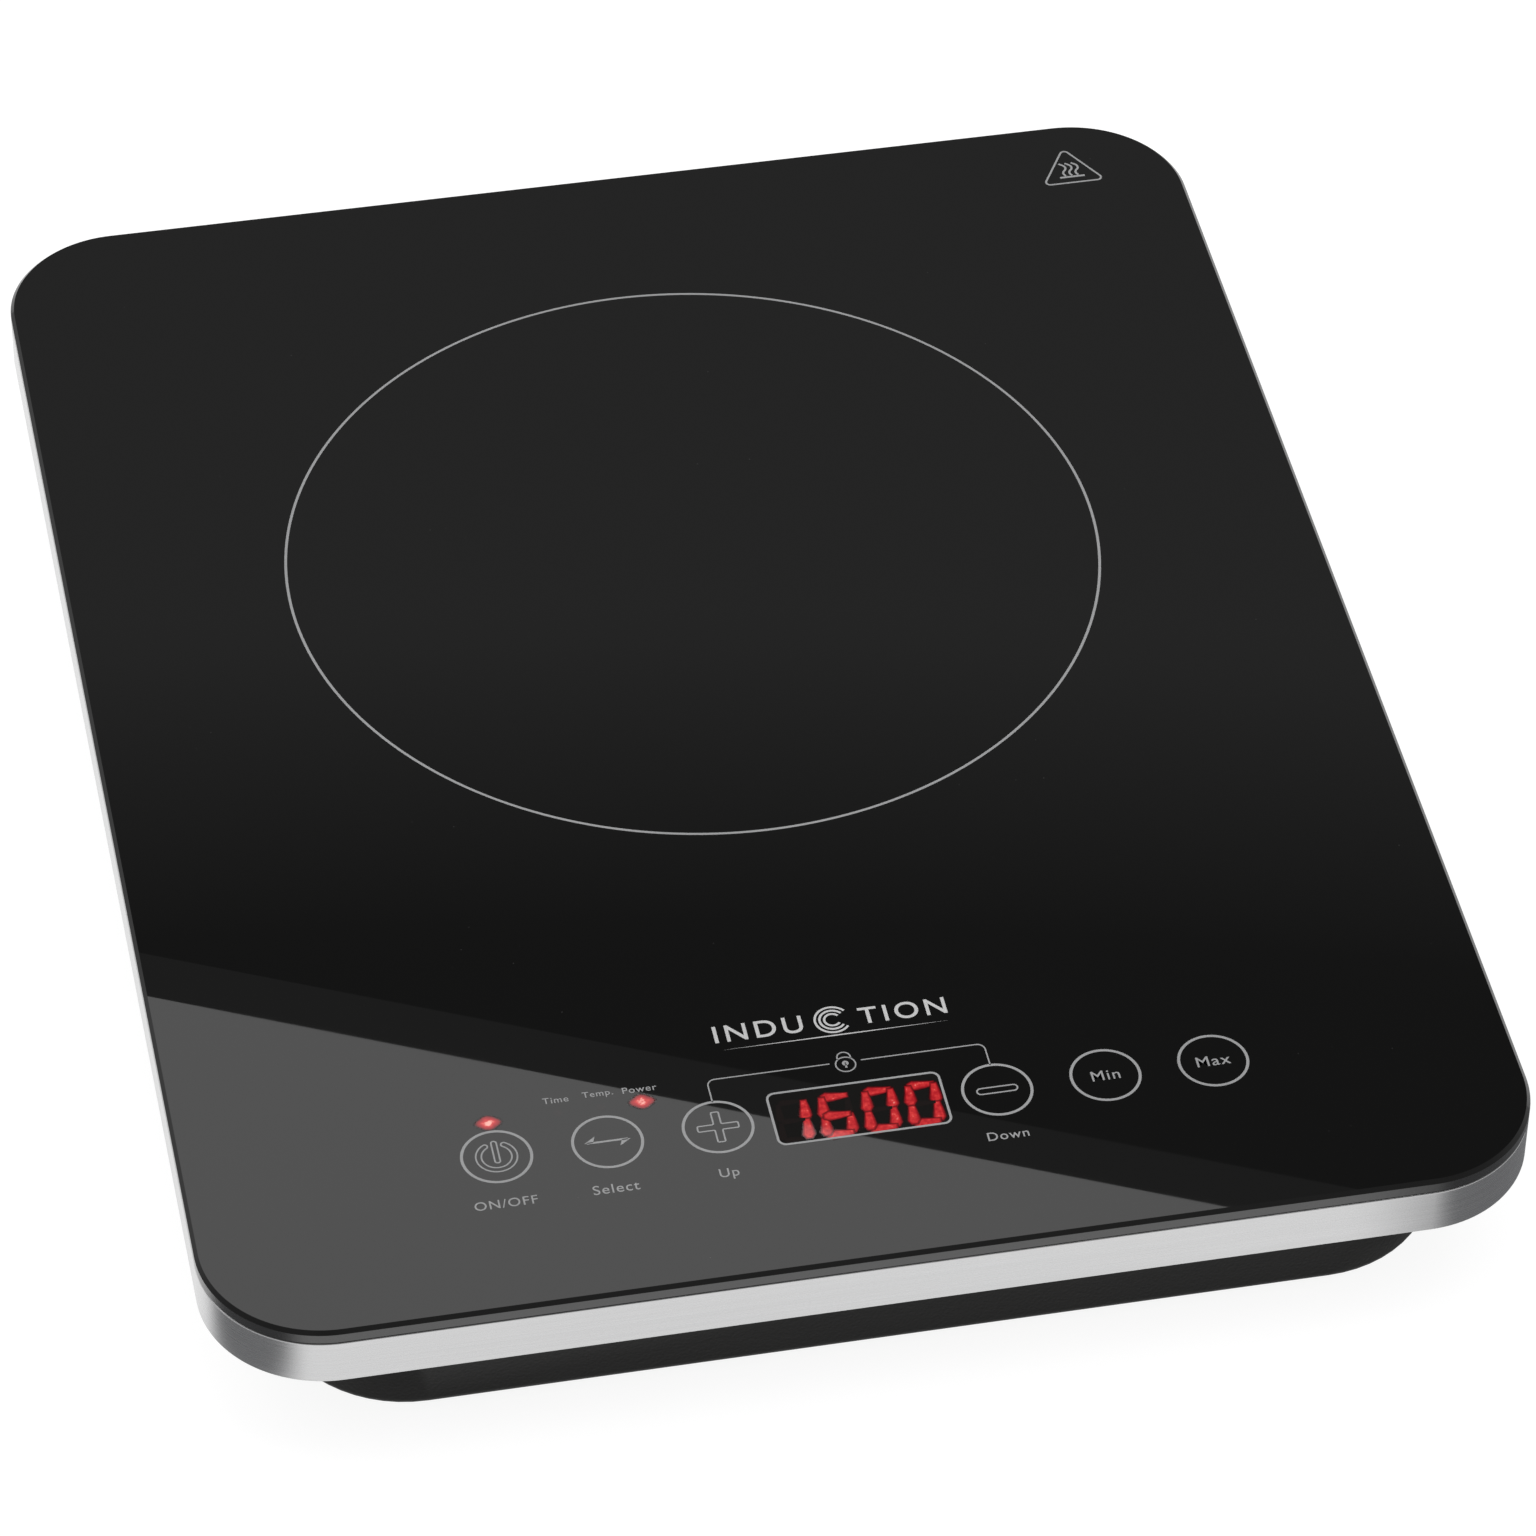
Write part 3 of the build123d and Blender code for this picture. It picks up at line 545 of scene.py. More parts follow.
# %% Walking an outline
def toward(angle):
    """The direction at an angle in degrees, seen from above."""
    return Vector((cos(radians(angle)), sin(radians(angle))))


def walk(bm, edges, start, heading, moves, stray=0.01):
    """Drags edges along moves, in millimetres and degrees. Left turns are positive."""
    spot = Vector((*start, 0))
    for move in moves:
        if len(move) == 1:
            step = toward(heading).to_3d() * move[0]
            grown = bmesh.ops.extrude_edge_only(bm, edges=edges)["geom"]
            bmesh.ops.translate(bm, verts=verts_in(grown), vec=step)
            spot = spot + step
        else:
            radius, turn = move
            side = 1 if turn > 0 else -1
            centre = spot + toward(heading + 90).to_3d() * radius * side
            steps = max(2, ceil(radians(abs(turn)) / (2 * acos(1 - stray / radius))))
            begin = list(dict.fromkeys(vert for edge in edges for vert in edge.verts))
            grown = bmesh.ops.spin(
                bm, geom=begin + edges, cent=centre, axis=(0, 0, 1), angle=radians(turn), steps=steps
            )["geom_last"]
            spot = centre + Matrix.Rotation(radians(turn), 3, "Z") @ (spot - centre)
            heading += turn
        ends = set(verts_in(grown))
        edges = [e for e in bm.edges if e.verts[0] in ends and e.verts[1] in ends]
    return edges


def draw(bm, start, heading, width, moves):
    """A flat line of one width, drawn as a pen would draw it."""
    across = toward(heading + 90).to_3d() * width / 2
    tip = [bm.verts.new(Vector((*start, 0)) + across * side) for side in (1, -1)]
    walk(bm, [bm.edges.new(tip)], start, heading, moves)


# %% [markdown]
# ## Glass plate
# The plate is cut, its corners are rounded, and its top edge is ground to a narrow flat arris that
# catches no light, so it draws a black line round the glass. A box whose upright edges are
# bevelled first, and its rims after, gives the same shapes in the same order as the real work.


# %% Glass plate
corner = 26.5 * mm
arris = 0.8 * mm
lower_arris = 0.3 * mm


def upright_edges(bm):
    return [e for e in bm.edges if abs((e.verts[0].co - e.verts[1].co).normalized().z) > 0.9]


def rim_edges(bm, height):
    return [e for e in bm.edges if all(abs(v.co.z - height) < 1e-6 for v in e.verts)]


def bevel(bm, parts, width, segments, affect="EDGES"):
    """Cuts edges or corners back by a width. One segment is a flat, more make a round."""
    bmesh.ops.bevel(
        bm, geom=parts, offset=width, offset_type="OFFSET", affect=affect,
        segments=segments, profile=0.5, material=-1,
    )


bm = bmesh.new()
bmesh.ops.create_cube(bm, size=1.0)
bmesh.ops.scale(bm, vec=glass_high - glass_low, verts=bm.verts)
bmesh.ops.translate(bm, vec=(glass_high + glass_low) / 2, verts=bm.verts)
bevel(bm, upright_edges(bm), corner, 32)
bevel(bm, rim_edges(bm, glass_top), arris, 1)
bevel(bm, rim_edges(bm, glass_low.z), lower_arris, 1)
for face in bm.faces:
    face.material_index = 0 if face.normal.z > 0.5 else 1
glass = put("glass_top_plate", bm, "glass_ceramic")
glass.data.materials.append(finish["glass_edge"])
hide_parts("glass_plate")
print("glass plate:", len(glass.data.polygons), "faces")

# %% [markdown]
# ## Aluminium band
# The real band is an extruded section with an inner lip, bent round the frame and closed with a
# butt seam at the back. The same section, with small rounds on its outer edges, is walked round
# from the seam and back to a hair before it, and its two ends are capped.

# %% Aluminium band
band_low, band_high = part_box("trim_band")
wall = 1.2
lip = 3.0
lip_rise = 4.8
seam = 0.12
half_width, half_depth = band_high.x / mm, band_high.y / mm
low, high = band_low.z / mm, band_high.z / mm
radius = corner / mm
rounding = 0.35
nip = 0.3 * rounding        # the middle of a rounded edge stands this far in from the sharp corner
lip_low, lip_high = low + lip_rise, low + lip_rise + wall
section = [
    (0, low + rounding), (0, high - rounding), (-nip, high - nip), (-rounding, high),
    (-wall, high), (-wall, lip_high), (-wall - lip, lip_high), (-wall - lip, lip_low),
    (-wall, lip_low), (-wall, low), (-rounding, low), (-nip, low + nip),
]
bm = bmesh.new()
ring = [bm.verts.new((0, half_depth + out, up)) for out, up in section]
loop = [bm.edges.new((ring[i - 1], ring[i])) for i in range(len(ring))]
side_run, front_run = 2 * (half_depth - radius), 2 * (half_width - radius)
bend = (radius, 90)
half_round = [bend, (side_run,), bend]
path = [(front_run / 2,), *half_round, (front_run,), *half_round, (front_run / 2 - seam,)]
end_loop = walk(bm, loop, (0, half_depth), 180, path)
for cap in (loop, end_loop):
    bmesh.ops.contextual_create(bm, geom=cap)
bmesh.ops.recalc_face_normals(bm, faces=bm.faces)
to_metres(bm)
band = put("edge_band", bm, "band_aluminium", crease=50)
flat_faces_lead(band)
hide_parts("trim_band")
print("band:", len(band.data.polygons), "faces")

# %% [markdown]
# ## Feet
# A foot is a turned shape, so its profile is spun round its own axis: a flat sole with two
# shallow rings that grip, a rounded rim, and a push-in stem with a bulb above the floor.


# %% Feet
def turned(profile, centre, steps=48, closed=False):
    """Spins a profile of (radius, height) points round an upright axis, all in millimetres."""
    bm = bmesh.new()
    points = [bm.verts.new((across, 0, up)) for across, up in profile]
    edges = [bm.edges.new(pair) for pair in zip(points, points[1:])]
    if closed:
        edges.append(bm.edges.new((points[-1], points[0])))
    upright = {"cent": (0, 0, 0), "axis": (0, 0, 1)}
    bmesh.ops.spin(bm, geom=points + edges, angle=2 * pi, steps=steps, use_merge=True, **upright)
    join_ends(bm)
    bmesh.ops.recalc_face_normals(bm, faces=bm.faces)
    bmesh.ops.translate(bm, vec=(centre[0], centre[1], 0), verts=bm.verts)
    to_metres(bm)
    return bm


foot_profile = [
    (0, 0.5), (2.6, 0.5), (3.0, 0.0), (4.6, 0.0), (5.0, 0.45), (5.8, 0.45), (6.2, 0.0), (8.3, 0.0),
    (8.9, 0.16), (9.34, 0.6), (9.5, 1.2), (9.5, 4.7), (9.2, 5.0), (3.5, 5.0), (3.5, 7.5), (4.6, 7.5),
    (4.6, 8.4), (3.4, 9.5), (0, 9.5),
]
for name in feet:
    foot_low, foot_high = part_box(name)
    middle = (foot_low + foot_high) / 2 / mm
    foot = put(name + "_turned", turned(foot_profile, middle), "foot_rubber", crease=40)
    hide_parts(name)
    print(name, "at", round(middle.x), round(middle.y))

# %% [markdown]
# ## Coil winding
# The coil under the glass is litz wire wound flat, each turn pressed against the last. Seen through
# the vents it reads as round-backed rings side by side, so its section is 27 humps above and 27
# below, spun round the middle of the cooking zone. The copper finish adds the strands.

# %% Coil winding
coil_inner, coil_outer, coil_turns = 24.0, 84.0, 27
pitch = (coil_outer - coil_inner) / coil_turns
groove = 0.5
hump = ((-0.5 * pitch, groove), (-0.75, 0.2), (-0.3, 0.0), (0.3, 0.0), (0.75, 0.2))
upper = [
    (coil_inner + (turn + 0.5) * pitch + across, coil_high.z / mm - drop)
    for turn in range(coil_turns) for across, drop in hump
]
upper.append((coil_outer, coil_high.z / mm - groove))
lower = [(across, 2 * coil_middle.z / mm - up) for across, up in reversed(upper)]
winding = turned(upper + lower, coil_middle / mm, 96, closed=True)
coil = put("coil_winding_turned", winding, "copper_litz")
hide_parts("coil_winding")
print("coil winding:", len(coil.data.polygons), "faces")

# %% [markdown]
# ## Printed markings
# Screen-printed ink is a film a few hundredths of a millimetre thick. Each drawing starts flat, in
# millimetres on the plate, and is then given that thickness and set on the glass. All six keys
# stand on one line, with the display between the inner two.

# %% Printing helpers
film = 0.03
print_gap = 0.002       # the glass and an ink's underside never share a plane
key_line = -135.2
key_x = {"power": -75.0, "select": -51.8, "plus": -28.6, "minus": 30.5, "least": 53.6, "most": 76.7}
prints = []


def print_on(name, bm, place, material):
    """Gives a flat drawing the thickness of its ink and lays it on a surface."""
    join_ends(bm)
    bmesh.ops.recalc_face_normals(bm, faces=bm.faces)
    upper = bmesh.ops.extrude_face_region(bm, geom=bm.faces[:], use_keep_orig=True)["geom"]
    bmesh.ops.translate(bm, verts=verts_in(upper), vec=(0, 0, film))
    bmesh.ops.recalc_face_normals(bm, faces=bm.faces)
    bmesh.ops.transform(bm, matrix=Matrix.Scale(mm, 4) @ place, verts=bm.verts)
    prints.append(put(name, bm, "label_film", material=material))


def print_on_glass(name, bm, material="print_ink"):
    print_on(name, bm, Matrix.Translation((0, 0, glass_top / mm + print_gap)), material)


def write(bm, words, centre, width, weight, spacing=1.12):
    """Adds words to a drawing, centred and scaled to a width. Weight makes them bolder."""
    curve = bpy.data.curves.new(words, "FONT")
    curve.body = words
    curve.offset = weight
    curve.space_character = spacing
    curve.resolution_u = 6
    holder = bpy.data.objects.new(words, curve)
    scene.collection.objects.link(holder)
    bpy.context.view_layer.update()
    shape = bpy.data.meshes.new_from_object(holder.evaluated_get(bpy.context.evaluated_depsgraph_get()))
    bpy.data.objects.remove(holder)
    xs = [v.co.x for v in shape.vertices]
    ys = [v.co.y for v in shape.vertices]
    middle = Vector(((max(xs) + min(xs)) / 2, (max(ys) + min(ys)) / 2, 0))
    size = Matrix.Scale(width / (max(xs) - min(xs)), 4)
    shape.transform(Matrix.Translation((*centre, 0)) @ size @ Matrix.Translation(-middle))
    bm.from_mesh(shape)
    bpy.data.meshes.remove(shape)


# %% Cooking ring
ring_radius = 91.2
ring_line = 0.6
zone_y = 41.4
bm = bmesh.new()
draw(bm, (ring_radius, zone_y), 90, ring_line, [(ring_radius, 360)])
print_on_glass("cooking_ring_print", bm)

# %% [markdown]
# ## Key rings and their symbols
# A key is a ring of ink with a symbol in it. The plus, the minus and the power sign are outlines,
# which the pen follows all the way round; the select sign is a double arrow with one barb each end.

# %% Key rings
key_radius = 7.23
key_ring_line = 0.62
bm = bmesh.new()
for x in key_x.values():
    draw(bm, (x + key_radius, key_line), 90, key_ring_line, [(key_radius, 360)])
print_on_glass("key_rings_print", bm)

# %% Key symbols
thin = 0.34
bm = bmesh.new()
reach, arm, nick = 4.3, 0.8, 0.3
leg = (reach - arm - 2 * nick,)
quarter = [(2 * arm - 2 * nick,), (nick, 90), leg, (nick, -90), leg, (nick, 90)]
draw(bm, (key_x["plus"] + reach, key_line - arm + nick), 90, thin, quarter * 4)


def pill(bm, centre, length, height, heading=0):
    """A long round-ended outline."""
    run = length - height
    start = Vector(centre) - toward(heading) * run / 2 + toward(heading - 90) * height / 2
    draw(bm, start, heading, thin, [(run,), (height / 2, 180)] * 2)


pill(bm, (key_x["minus"], key_line), 8.6, 1.7)
pill(bm, (key_x["power"], key_line + 1.3), 6.2, 1.1, 90)
outer, inner, opening = 4.3, 3.15, 64
first = 90 + opening / 2
sweep = 360 - opening
cap_radius = (outer - inner) / 2
power_start = Vector((key_x["power"], key_line)) + outer * toward(first)
round_end = (cap_radius, 180)
draw(bm, power_start, first + 90, thin, [(outer, sweep), round_end, (inner, -sweep), round_end])
arrow_half, arrow_line, arrow_y = 4.9, 0.5, key_line + 0.2
barb_back, barb_up, barb_root, point = 2.5, 1.75, 1.875, 0.6
for side in (-1, 1):
    tip = key_x["select"] + side * arrow_half
    corners = [(0, 0), (-side * barb_back, -side * barb_up), (-side * barb_root, 0)]
    bm.faces.new([bm.verts.new((tip + dx, arrow_y + dy, 0)) for dx, dy in corners])
shaft_start = (key_x["select"] - arrow_half + point, arrow_y)
draw(bm, shaft_start, 0, arrow_line, [(2 * (arrow_half - point),)])
print_on_glass("key_symbols_print", bm)

# %% [markdown]
# ## Display frame and lock line
# A rounded frame surrounds the four digits, on a tinted window that is a flat square with its
# corners bevelled. A thin line joins the plus and minus keys over the display, broken by a small
# padlock, because holding both keys locks the panel.

# %% Display frame and lock line
frame_left, frame_right, frame_bottom, frame_top = -17.1, 19.35, -142.7, -127.85
frame_round = 1.7
frame_line = 0.52
window_sunk = 0.7 * film        # most of the tint's thickness lies in the glass


def oblong(bm, left, right, bottom, top, bend, line):
    """A frame line with round corners."""
    across, up = right - left - 2 * bend, top - bottom - 2 * bend
    draw(bm, (left + bend, bottom), 0, line, [(across,), (bend, 90), (up,), (bend, 90)] * 2)


bm = bmesh.new()
bmesh.ops.create_grid(bm, x_segments=1, y_segments=1, size=0.5)
bmesh.ops.scale(bm, vec=(frame_right - frame_left, frame_top - frame_bottom, 1), verts=bm.verts)
bevel(bm, bm.verts[:], frame_round, 8, "VERTICES")
frame_middle = ((frame_left + frame_right) / 2, (frame_bottom + frame_top) / 2, 0)
bmesh.ops.translate(bm, vec=frame_middle, verts=bm.verts)
window_place = Matrix.Translation((0, 0, glass_top / mm - window_sunk))
print_on("display_window_print", bm, window_place, "window_tint")

bm = bmesh.new()
oblong(bm, frame_left, frame_right, frame_bottom, frame_top, frame_round, frame_line)
lock_line, lock_round, lock_level = 0.3, 1.7, -121.55
lock_left, lock_right, gap_left, gap_right = -28.4, 30.6, -2.3, 4.4
line_foot = key_line + key_radius
rise, bend_down = lock_level - line_foot - lock_round, (lock_round, -90)
left_run, right_run = gap_left - lock_left - lock_round, lock_right - gap_right - lock_round
draw(bm, (lock_left, line_foot), 90, lock_line, [(rise,), bend_down, (left_run,)])
draw(bm, (gap_right, lock_level), 0, lock_line, [(right_run,), bend_down, (rise,)])
lock_x, lock_body, shackle, shackle_leg, keyhole = 1.0, 2.1, 1.4, (0.6,), 0.45
draw(bm, (lock_x + lock_body, lock_level - 0.7), 90, lock_line, [(lock_body, 360)])
draw(bm, (lock_x + shackle, lock_level + 0.85), 90, lock_line, [shackle_leg, (shackle, 180), shackle_leg])
draw(bm, (lock_x, lock_level - 1.7), 90, keyhole, [(1.0,)])
draw(bm, (lock_x + keyhole, lock_level - 0.35), 90, 0.5, [(keyhole, 360)])
print_on_glass("display_frame_print", bm)

# %% [markdown]
# ## Words
# Plain function words stand under or inside the keys, and over the four lamps. The built-in font
# is close to the sans-serif that appliance makers print with. A larger word names the kind of
# hob. Its middle letter is a coil of three open rings, and a line under it tapers at both ends.

# %% Words
label_y = -148.5
mode_y = -121.4
word_weight, title_weight, title_spacing = 0.004, 0.008, 1.25
bm = bmesh.new()
for words, place, width in (
    ("ON/OFF", (-75.3, label_y), 13.1),
    ("Select", (-52.4, label_y + 0.1), 9.7),
    ("Up", (-28.8, label_y - 0.2), 4.1),
    ("Down", (29.9, label_y + 0.2), 8.7),
    ("Min", (53.6, key_line), 6.0),
    ("Max", (76.7, key_line), 7.2),
    ("Power", (-42.6, mode_y), 7.2),
    ("Temp.", (-51.4, mode_y), 6.4),
    ("Time", (-60.3, mode_y), 5.4),
):
    write(bm, words, place, width, word_weight)
print_on_glass("words_print", bm)

bm = bmesh.new()
title_y, coil_x = -108.9, 0.9
write(bm, "INDU", (-15.0, title_y), 19.0, title_weight, title_spacing)
write(bm, "TION", (15.9, title_y), 18.6, title_weight, title_spacing)
half_gap, coil_line = 38, 0.5
for coil_radius in (1.7, 2.7, 3.7):
    start = Vector((coil_x, title_y)) + coil_radius * toward(half_gap)
    draw(bm, start, 90 + half_gap, coil_line, [(coil_radius, 360 - 2 * half_gap)])
line_middle, line_half, line_thick = (0.8, -113.5), 24.0, 0.17
diamond = bmesh.ops.create_circle(bm, cap_ends=True, segments=4, radius=1.0)["verts"]
bmesh.ops.scale(bm, vec=(line_half, line_thick, 1), verts=diamond)
bmesh.ops.translate(bm, vec=(*line_middle, 0), verts=diamond)
print_on_glass("title_print", bm, "print_ink_bright")

# %% [markdown]
# ## Hot-surface sign
# A plain rounded triangle with three waves of heat over a bar. A wave is the pen bending right,
# then left, then running out straight.

# %% Hot-surface sign
sign_x, sign_base, sign_side, sign_round = 114.2, 155.6, 14.8, 1.0
sign_line = 0.46
straight = sign_side - 2 * sign_round * sqrt(3)
bm = bmesh.new()
draw(bm, (sign_x - straight / 2, sign_base), 0, sign_line, [(straight,), (sign_round, 120)] * 3)
wave_radius, wave_turn, wave_line, wave_tail = 1.3, 100, 0.5, (1.1,)
wave = [(wave_radius, -wave_turn), (wave_radius, wave_turn), wave_tail]
for place in (-1.4, 0.1, 1.6):
    draw(bm, (sign_x + place, sign_base + 2.7), 140, wave_line, wave)
draw(bm, (sign_x - 3.0, sign_base + 2.2), 0, 0.6, [(6.0,)])
print_on_glass("hot_surface_sign_print", bm)

# %% [markdown]
# ## Rating label
# The label underneath is a silver film. A real one lists the maker's ratings. This one has a plain
# border, rows of bars where the words would be, and the square in a square that marks a doubly
# insulated appliance. It is drawn the right way up, then turned over on to the underside.

# %% Rating label
moulded_material("label_ink", (0.02, 0.02, 0.022), 0.4, 5000, 4)
label_low, label_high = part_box("rating_label")
label_middle = (label_low + label_high) / 2 / mm
bm = bmesh.new()
label_line = 0.5
oblong(bm, -30, 30, -15, 15, 2.0, label_line)
oblong(bm, 17, 25, -11, -3, 0.5, label_line)
oblong(bm, 19, 23, -9, -5, 0.3, label_line)
row_left, row_top, row_pitch, title_thick, row_thick = -26, 10.5, 4.2, 2.2, 1.0
for row, row_length in enumerate((22, 34, 29, 36, 18, 25)):
    thick = row_thick if row else title_thick
    draw(bm, (row_left, row_top - row_pitch * row), 0, thick, [(row_length,)])
turned_over = Matrix.Rotation(pi, 4, "X")
on_label = Matrix.Translation((label_middle.x, label_middle.y, label_low.z / mm))
print_on("rating_label_print", bm, on_label @ turned_over, "label_ink")
print("printed pieces:", ", ".join(piece.name for piece in prints))

# %% [markdown]
# ## Lit display
# A seven-segment digit is seven bars. A bar is a hexagon pulled apart along its length. Its rim is
# outset once for the halo that the tinted glass scatters, and inset once for the hot core, and
# each ring of vertices stores its own glow. Unlit bars stay just visible, as they do behind glass.

# %% Segments of a digit
digit_step = 9.2
digit_first = -12.9
digit_y = -136.3
digit_half_width = 2.7
digit_half_height = 5.35
bar_thick = 0.82
bar_gap = 0.25
core_inset = 0.45 * bar_thick
core_glow, edge_glow, rim_glow = 0.84, 0.7, 0.0
bar_step = 0.002        # crossing halos lie at heights of their own
lean = radians(4)
lit_bars = {"1": "bc", "6": "acdefg", "0": "abcdef"}
bars = {
    "a": (0, 1, 0), "b": (1, 0.5, 90), "c": (1, -0.5, 90), "d": (0, -1, 0),
    "e": (-1, -0.5, 90), "f": (-1, 0.5, 90), "g": (0, 0, 0),
}


def add_bar(bm, layer, bar, slot_x, halo):
    """One bar of a digit. Its glow is stored in layer, and a lit bar has a halo that wide."""
    across, up, turn = bars[bar]
    full_length = digit_half_height if turn else 2 * digit_half_width
    half = (full_length - 2.0 * bar_thick - bar_gap) / 2
    verts = bmesh.ops.create_circle(bm, cap_ends=True, segments=6, radius=bar_thick)["verts"]
    for vert in verts:
        vert.co.x += half if vert.co.x > 0 else -half
        vert[layer] = edge_glow
    group = set(verts)
    if halo:
        face = verts[0].link_faces[0]
        bmesh.ops.inset_region(bm, faces=[face], thickness=core_inset)
        for vert in face.verts:
            vert[layer] = core_glow
        group |= set(face.verts)
        outline = [e for e in bm.edges if e.is_boundary and group.issuperset(e.verts)]
        skirt = verts_in(bmesh.ops.extrude_edge_only(bm, edges=outline)["geom"])
        for vert in skirt:
            flat = Vector((vert.co.x, vert.co.y, 0))
            end = Vector((max(-half, min(half, flat.x)), 0, 0))
            vert.co = vert.co + (flat - end).normalized() * halo
            vert[layer] = rim_glow
        group |= set(skirt)
    slot_place = Matrix.Translation((slot_x, digit_y, bar_step * "abcdefg".index(bar)))
    place = Matrix.Translation((across * digit_half_width, up * digit_half_height, 0))
    spin = Matrix.Rotation(radians(turn), 4, "Z")
    bmesh.ops.transform(bm, matrix=slot_place @ place @ spin, verts=list(group))
    for vert in group:
        vert.co.x += (vert.co.y - digit_y) * sin(lean)


def light_piece(name, bm, material, slot, lift):
    """Sets a flat glowing drawing on the glass, open below, where the glass closes it."""
    bmesh.ops.recalc_face_normals(bm, faces=bm.faces)
    if sum(face.normal.z for face in bm.faces) < 0:
        bmesh.ops.reverse_faces(bm, faces=bm.faces)
    bmesh.ops.translate(bm, verts=bm.verts, vec=(0, 0, glass_top / mm + lift))
    to_metres(bm)
    put(name, bm, slot, material=material)


# %% Digits
shown = "1600"
halo = 0.95
lit, unlit = bmesh.new(), bmesh.new()
layers = {bm: bm.verts.layers.float.new("glow") for bm in (lit, unlit)}
for index, digit in enumerate(shown):
    slot_x = digit_first + index * digit_step
    for bar in bars:
        on = bar in lit_bars[digit]
        bm = lit if on else unlit
        add_bar(bm, layers[bm], bar, slot_x, halo if on else 0)
light_piece("display_digits_lit", lit, "lamp_light", "led_red", 0.016)
light_piece("display_segments_unlit", unlit, "segment_off", "display_body", 0.011)
print("display shows", shown)

# %% [markdown]
# ## Indicator lamps
# Four lamps sit over the first two keys. Two are lit: a small core in a wider halo, drawn out to
# four soft points by the grain of the glass. Their rings of vertices fade from full glow to none.

# %% Indicator lamps
lamps = [(-75.1, -125.4, True), (-42.7, -125.1, True), (-51.3, -125.2, False), (-60.4, -125.2, False)]
lit, unlit = bmesh.new(), bmesh.new()
glow = lit.verts.layers.float.new("glow")
rings = ((0.45, 1.0), (1.1, 0.86), (1.75, 0.6), (2.5, 0.0))
unlit_radius = 0.9
lamp_stretch = 1.3
drawn_in = 0.16         # how far the rim stands back between the four points
for x, y, on in lamps:
    spot = Matrix.Translation((x, y, 0))
    if not on:
        bmesh.ops.create_circle(unlit, cap_ends=True, segments=24, radius=unlit_radius, matrix=spot)
        continue
    disc = bmesh.ops.create_circle(lit, cap_ends=True, segments=16, radius=rings[0][0], matrix=spot)["verts"]
    for index, vert in enumerate(disc):
        pull = 1 - drawn_in * min(index % 4, 4 - index % 4) / 2
        bmesh.ops.scale(lit, vec=(lamp_stretch * pull, pull, 1), space=spot.inverted(), verts=[vert])
        vert[glow] = rings[0][1]
    edge_loop = list(disc[0].link_faces[0].edges)
    for (before, _), (radius, strength) in zip(rings, rings[1:]):
        ends = verts_in(bmesh.ops.extrude_edge_only(lit, edges=edge_loop)["geom"])
        bmesh.ops.scale(lit, vec=(radius / before,) * 3, space=spot.inverted(), verts=ends)
        for vert in ends:
            vert[glow] = strength
        edge_loop = [e for e in lit.edges if e.verts[0] in ends and e.verts[1] in ends]
light_piece("indicator_lamps_lit", lit, "lamp_light", "led_red", 0.012)
light_piece("indicator_lamps_unlit", unlit, "lamp_off", "display_body", 0.006)
print("lamps:", len(lamps))

# %% [markdown]
# ## Studio
# A white table, and a dark room so that the glass stays black. The camera sees the room as pale;
# only reflections see it dark, a little lighter towards the horizon. One large softbox hangs over
# the object, turned so that its far edge crosses the front of the glass as a slanting line. Two
# more lights brighten the table and the ink, and are left out of reflections.


# %% Table and room
def paper(name):
    """An empty material of the studio, and its tree."""
    material = bpy.data.materials.new(name)
    material.use_nodes = True
    return material, material.node_tree


def see_through(tree, surface, factor):
    """Ends a material: where factor is 1, what lies behind shows in place of its surface."""
    mix = wire(tree, "MixShader", Fac=factor)
    tree.links.new(surface.outputs[0], mix.inputs[1])
    tree.links.new(wire(tree, "BsdfTransparent").outputs[0], mix.inputs[2])
    tree.links.new(mix.outputs[0], tree.nodes["Material Output"].inputs["Surface"])


def lay(name, bm, material):
    """Puts a piece of the studio on the floor. It isn't part of the object."""
    mesh = bpy.data.meshes.new(name)
    bm.to_mesh(mesh)
    bm.free()
    mesh.materials.append(material)
    piece = bpy.data.objects.new(name, mesh)
    scene.collection.objects.link(piece)
    return piece


table_size = 12.0
table_paper, tree = paper("table_paper")
surface = tree.nodes["Principled BSDF"]
for label, value in (
    ("Roughness", 0.95), ("Specular IOR Level", 0.0), ("Base Color", (0.2, 0.2, 0.2, 1)),
    ("Emission Color", (1, 1, 1, 1)), ("Emission Strength", 0.9),
):
    surface.inputs[label].default_value = value
see_through(tree, surface, wire(tree, "NewGeometry").outputs["Backfacing"])
bm = bmesh.new()
bmesh.ops.create_grid(bm, x_segments=1, y_segments=1, size=table_size)
lay("table", bm, table_paper)

world = bpy.data.worlds.new("studio_room")
world.use_nodes = True
scene.world = world
tree = world.node_tree
height = wire(tree, "SeparateXYZ", Vector=wire(tree, "TexCoord").outputs["Generated"]).outputs["Z"]
room_tones = [(0.0, 0.6), (0.45, 0.3), (0.62, 0.25), (0.67, 0.28), (0.684, 0.185), (0.7, 0.085)]
is_camera = wire(tree, "LightPath").outputs["Is Camera Ray"]
seen = mix_colors(tree, is_camera, ramp(tree, height, room_tones), (1, 1, 1, 1))
tree.links.new(seen, tree.nodes["Background"].inputs["Color"])
scene.view_settings.view_transform = "Standard"
print("table and room ready")

# %% [markdown]
# A white table makes a rounded metal corner vanish into it. In a studio, a dark card is laid by
# the corner, so that the metal has something dark to mirror and its curve can be read. These cards
# fade at their rims and only reflections see them.

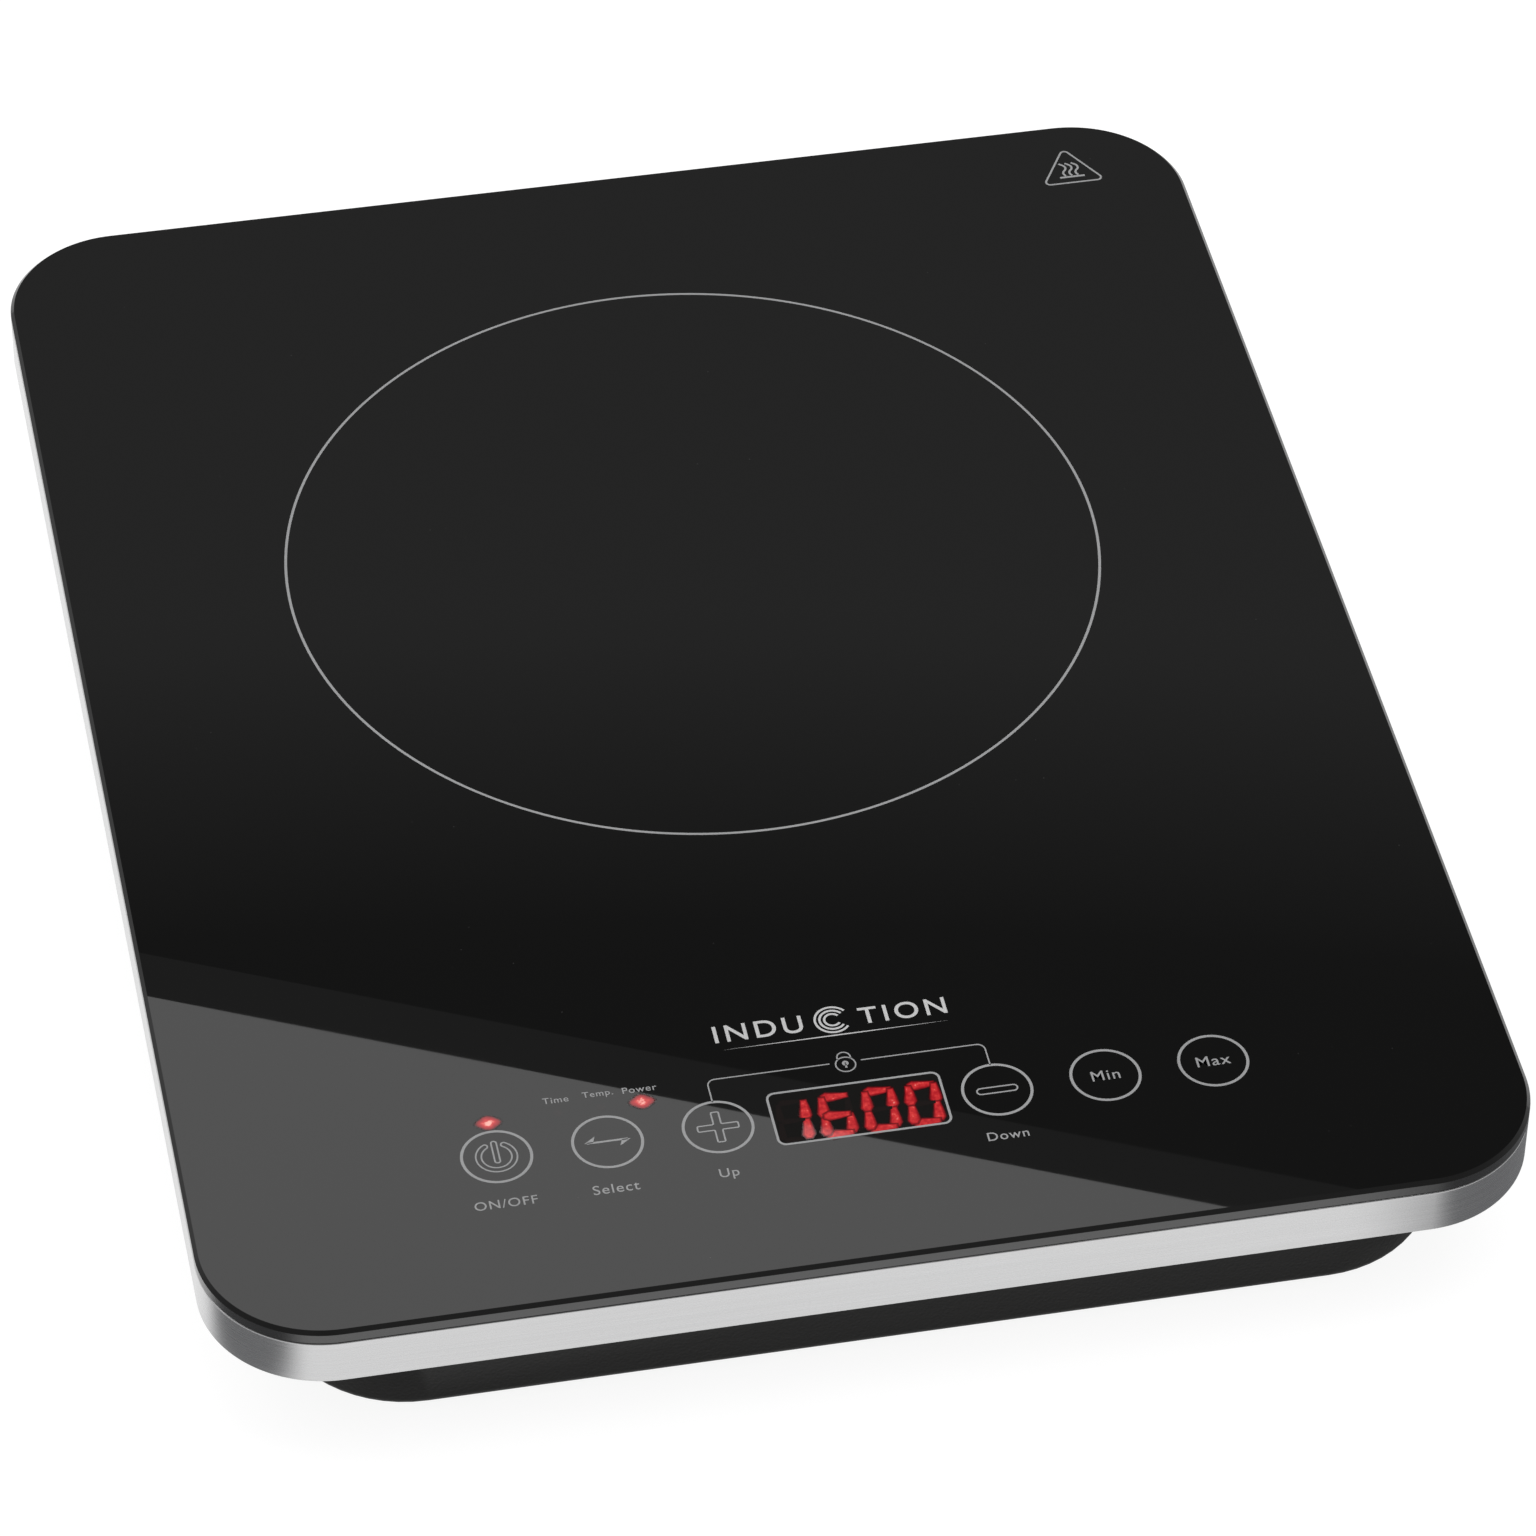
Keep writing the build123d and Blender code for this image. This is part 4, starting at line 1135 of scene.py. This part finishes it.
# %% Dark cards
card_lift = 0.5 * mm
card_paper, tree = paper("card_paper")
from_centre = length_of(tree, wire(tree, "TexCoord").outputs["Object"])
fade = wire(tree, "MapRange", {"interpolation_type": "SMOOTHSTEP"}, Value=from_centre, From_Min=0.65)
dark = wire(tree, "Emission", Color=(0.96, 0.97, 1.0, 1), Strength=0.2)
see_through(tree, dark, fade.outputs["Result"])


def dark_card(name, centre, half_width, half_depth):
    bm = bmesh.new()
    bmesh.ops.create_circle(bm, cap_ends=True, segments=48, radius=1.0)
    card = lay(name, bm, card_paper)
    card.location = (*centre, card_lift)
    card.scale = (half_width, half_depth, 1)
    card.visible_camera = card.visible_diffuse = False
    card.visible_shadow = card.visible_transmission = False


dark_card("card_left", (-0.191, -0.184), 0.063, 0.058)
dark_card("card_right", (0.2, -0.178), 0.1, 0.1)
print("cards laid")


# %% Lights
def panel(name, centre, target, size, radiance, turn=0.0, reflected=True):
    """A rectangular light of a given brightness per area. Turn is about an upright axis."""
    light = bpy.data.lights.new(name, "AREA")
    light.shape = "RECTANGLE"
    light.size, light.size_y = size
    light.energy = radiance * pi * size[0] * size[1]
    lamp = bpy.data.objects.new(name, light)
    lamp.location = centre
    lamp.rotation_mode = "QUATERNION"
    aim = (Vector(target) - Vector(centre)).to_track_quat("-Z", "Y")
    lamp.rotation_quaternion = Quaternion((0, 0, 1), radians(turn)) @ aim
    lamp.visible_camera = False
    lamp.visible_glossy = reflected
    scene.collection.objects.link(lamp)


box_width, box_depth, box_turn = 2.4, 1.5, -25.8
lip_depth = 0.025
far_edge = Vector((0.158, 1.037, glass_top + 1.2))
outward = toward(box_turn + 90).to_3d()
down = Vector((0, 0, -1))
for name, offset, depth, radiance in (
    ("softbox", -box_depth / 2, box_depth, 1.6),
    ("softbox_lip", lip_depth / 2, lip_depth, 0.09),
):
    centre = far_edge + outward * offset
    panel(name, centre, centre + down, (box_width, depth), radiance, box_turn)
for name, x in (("fill_left", -1.3), ("fill_right", 1.3)):
    panel(name, (x, -0.7, 1.6), (0, 0, 0), (1.3, 1.3), 1.4, reflected=False)
print("lights ready")
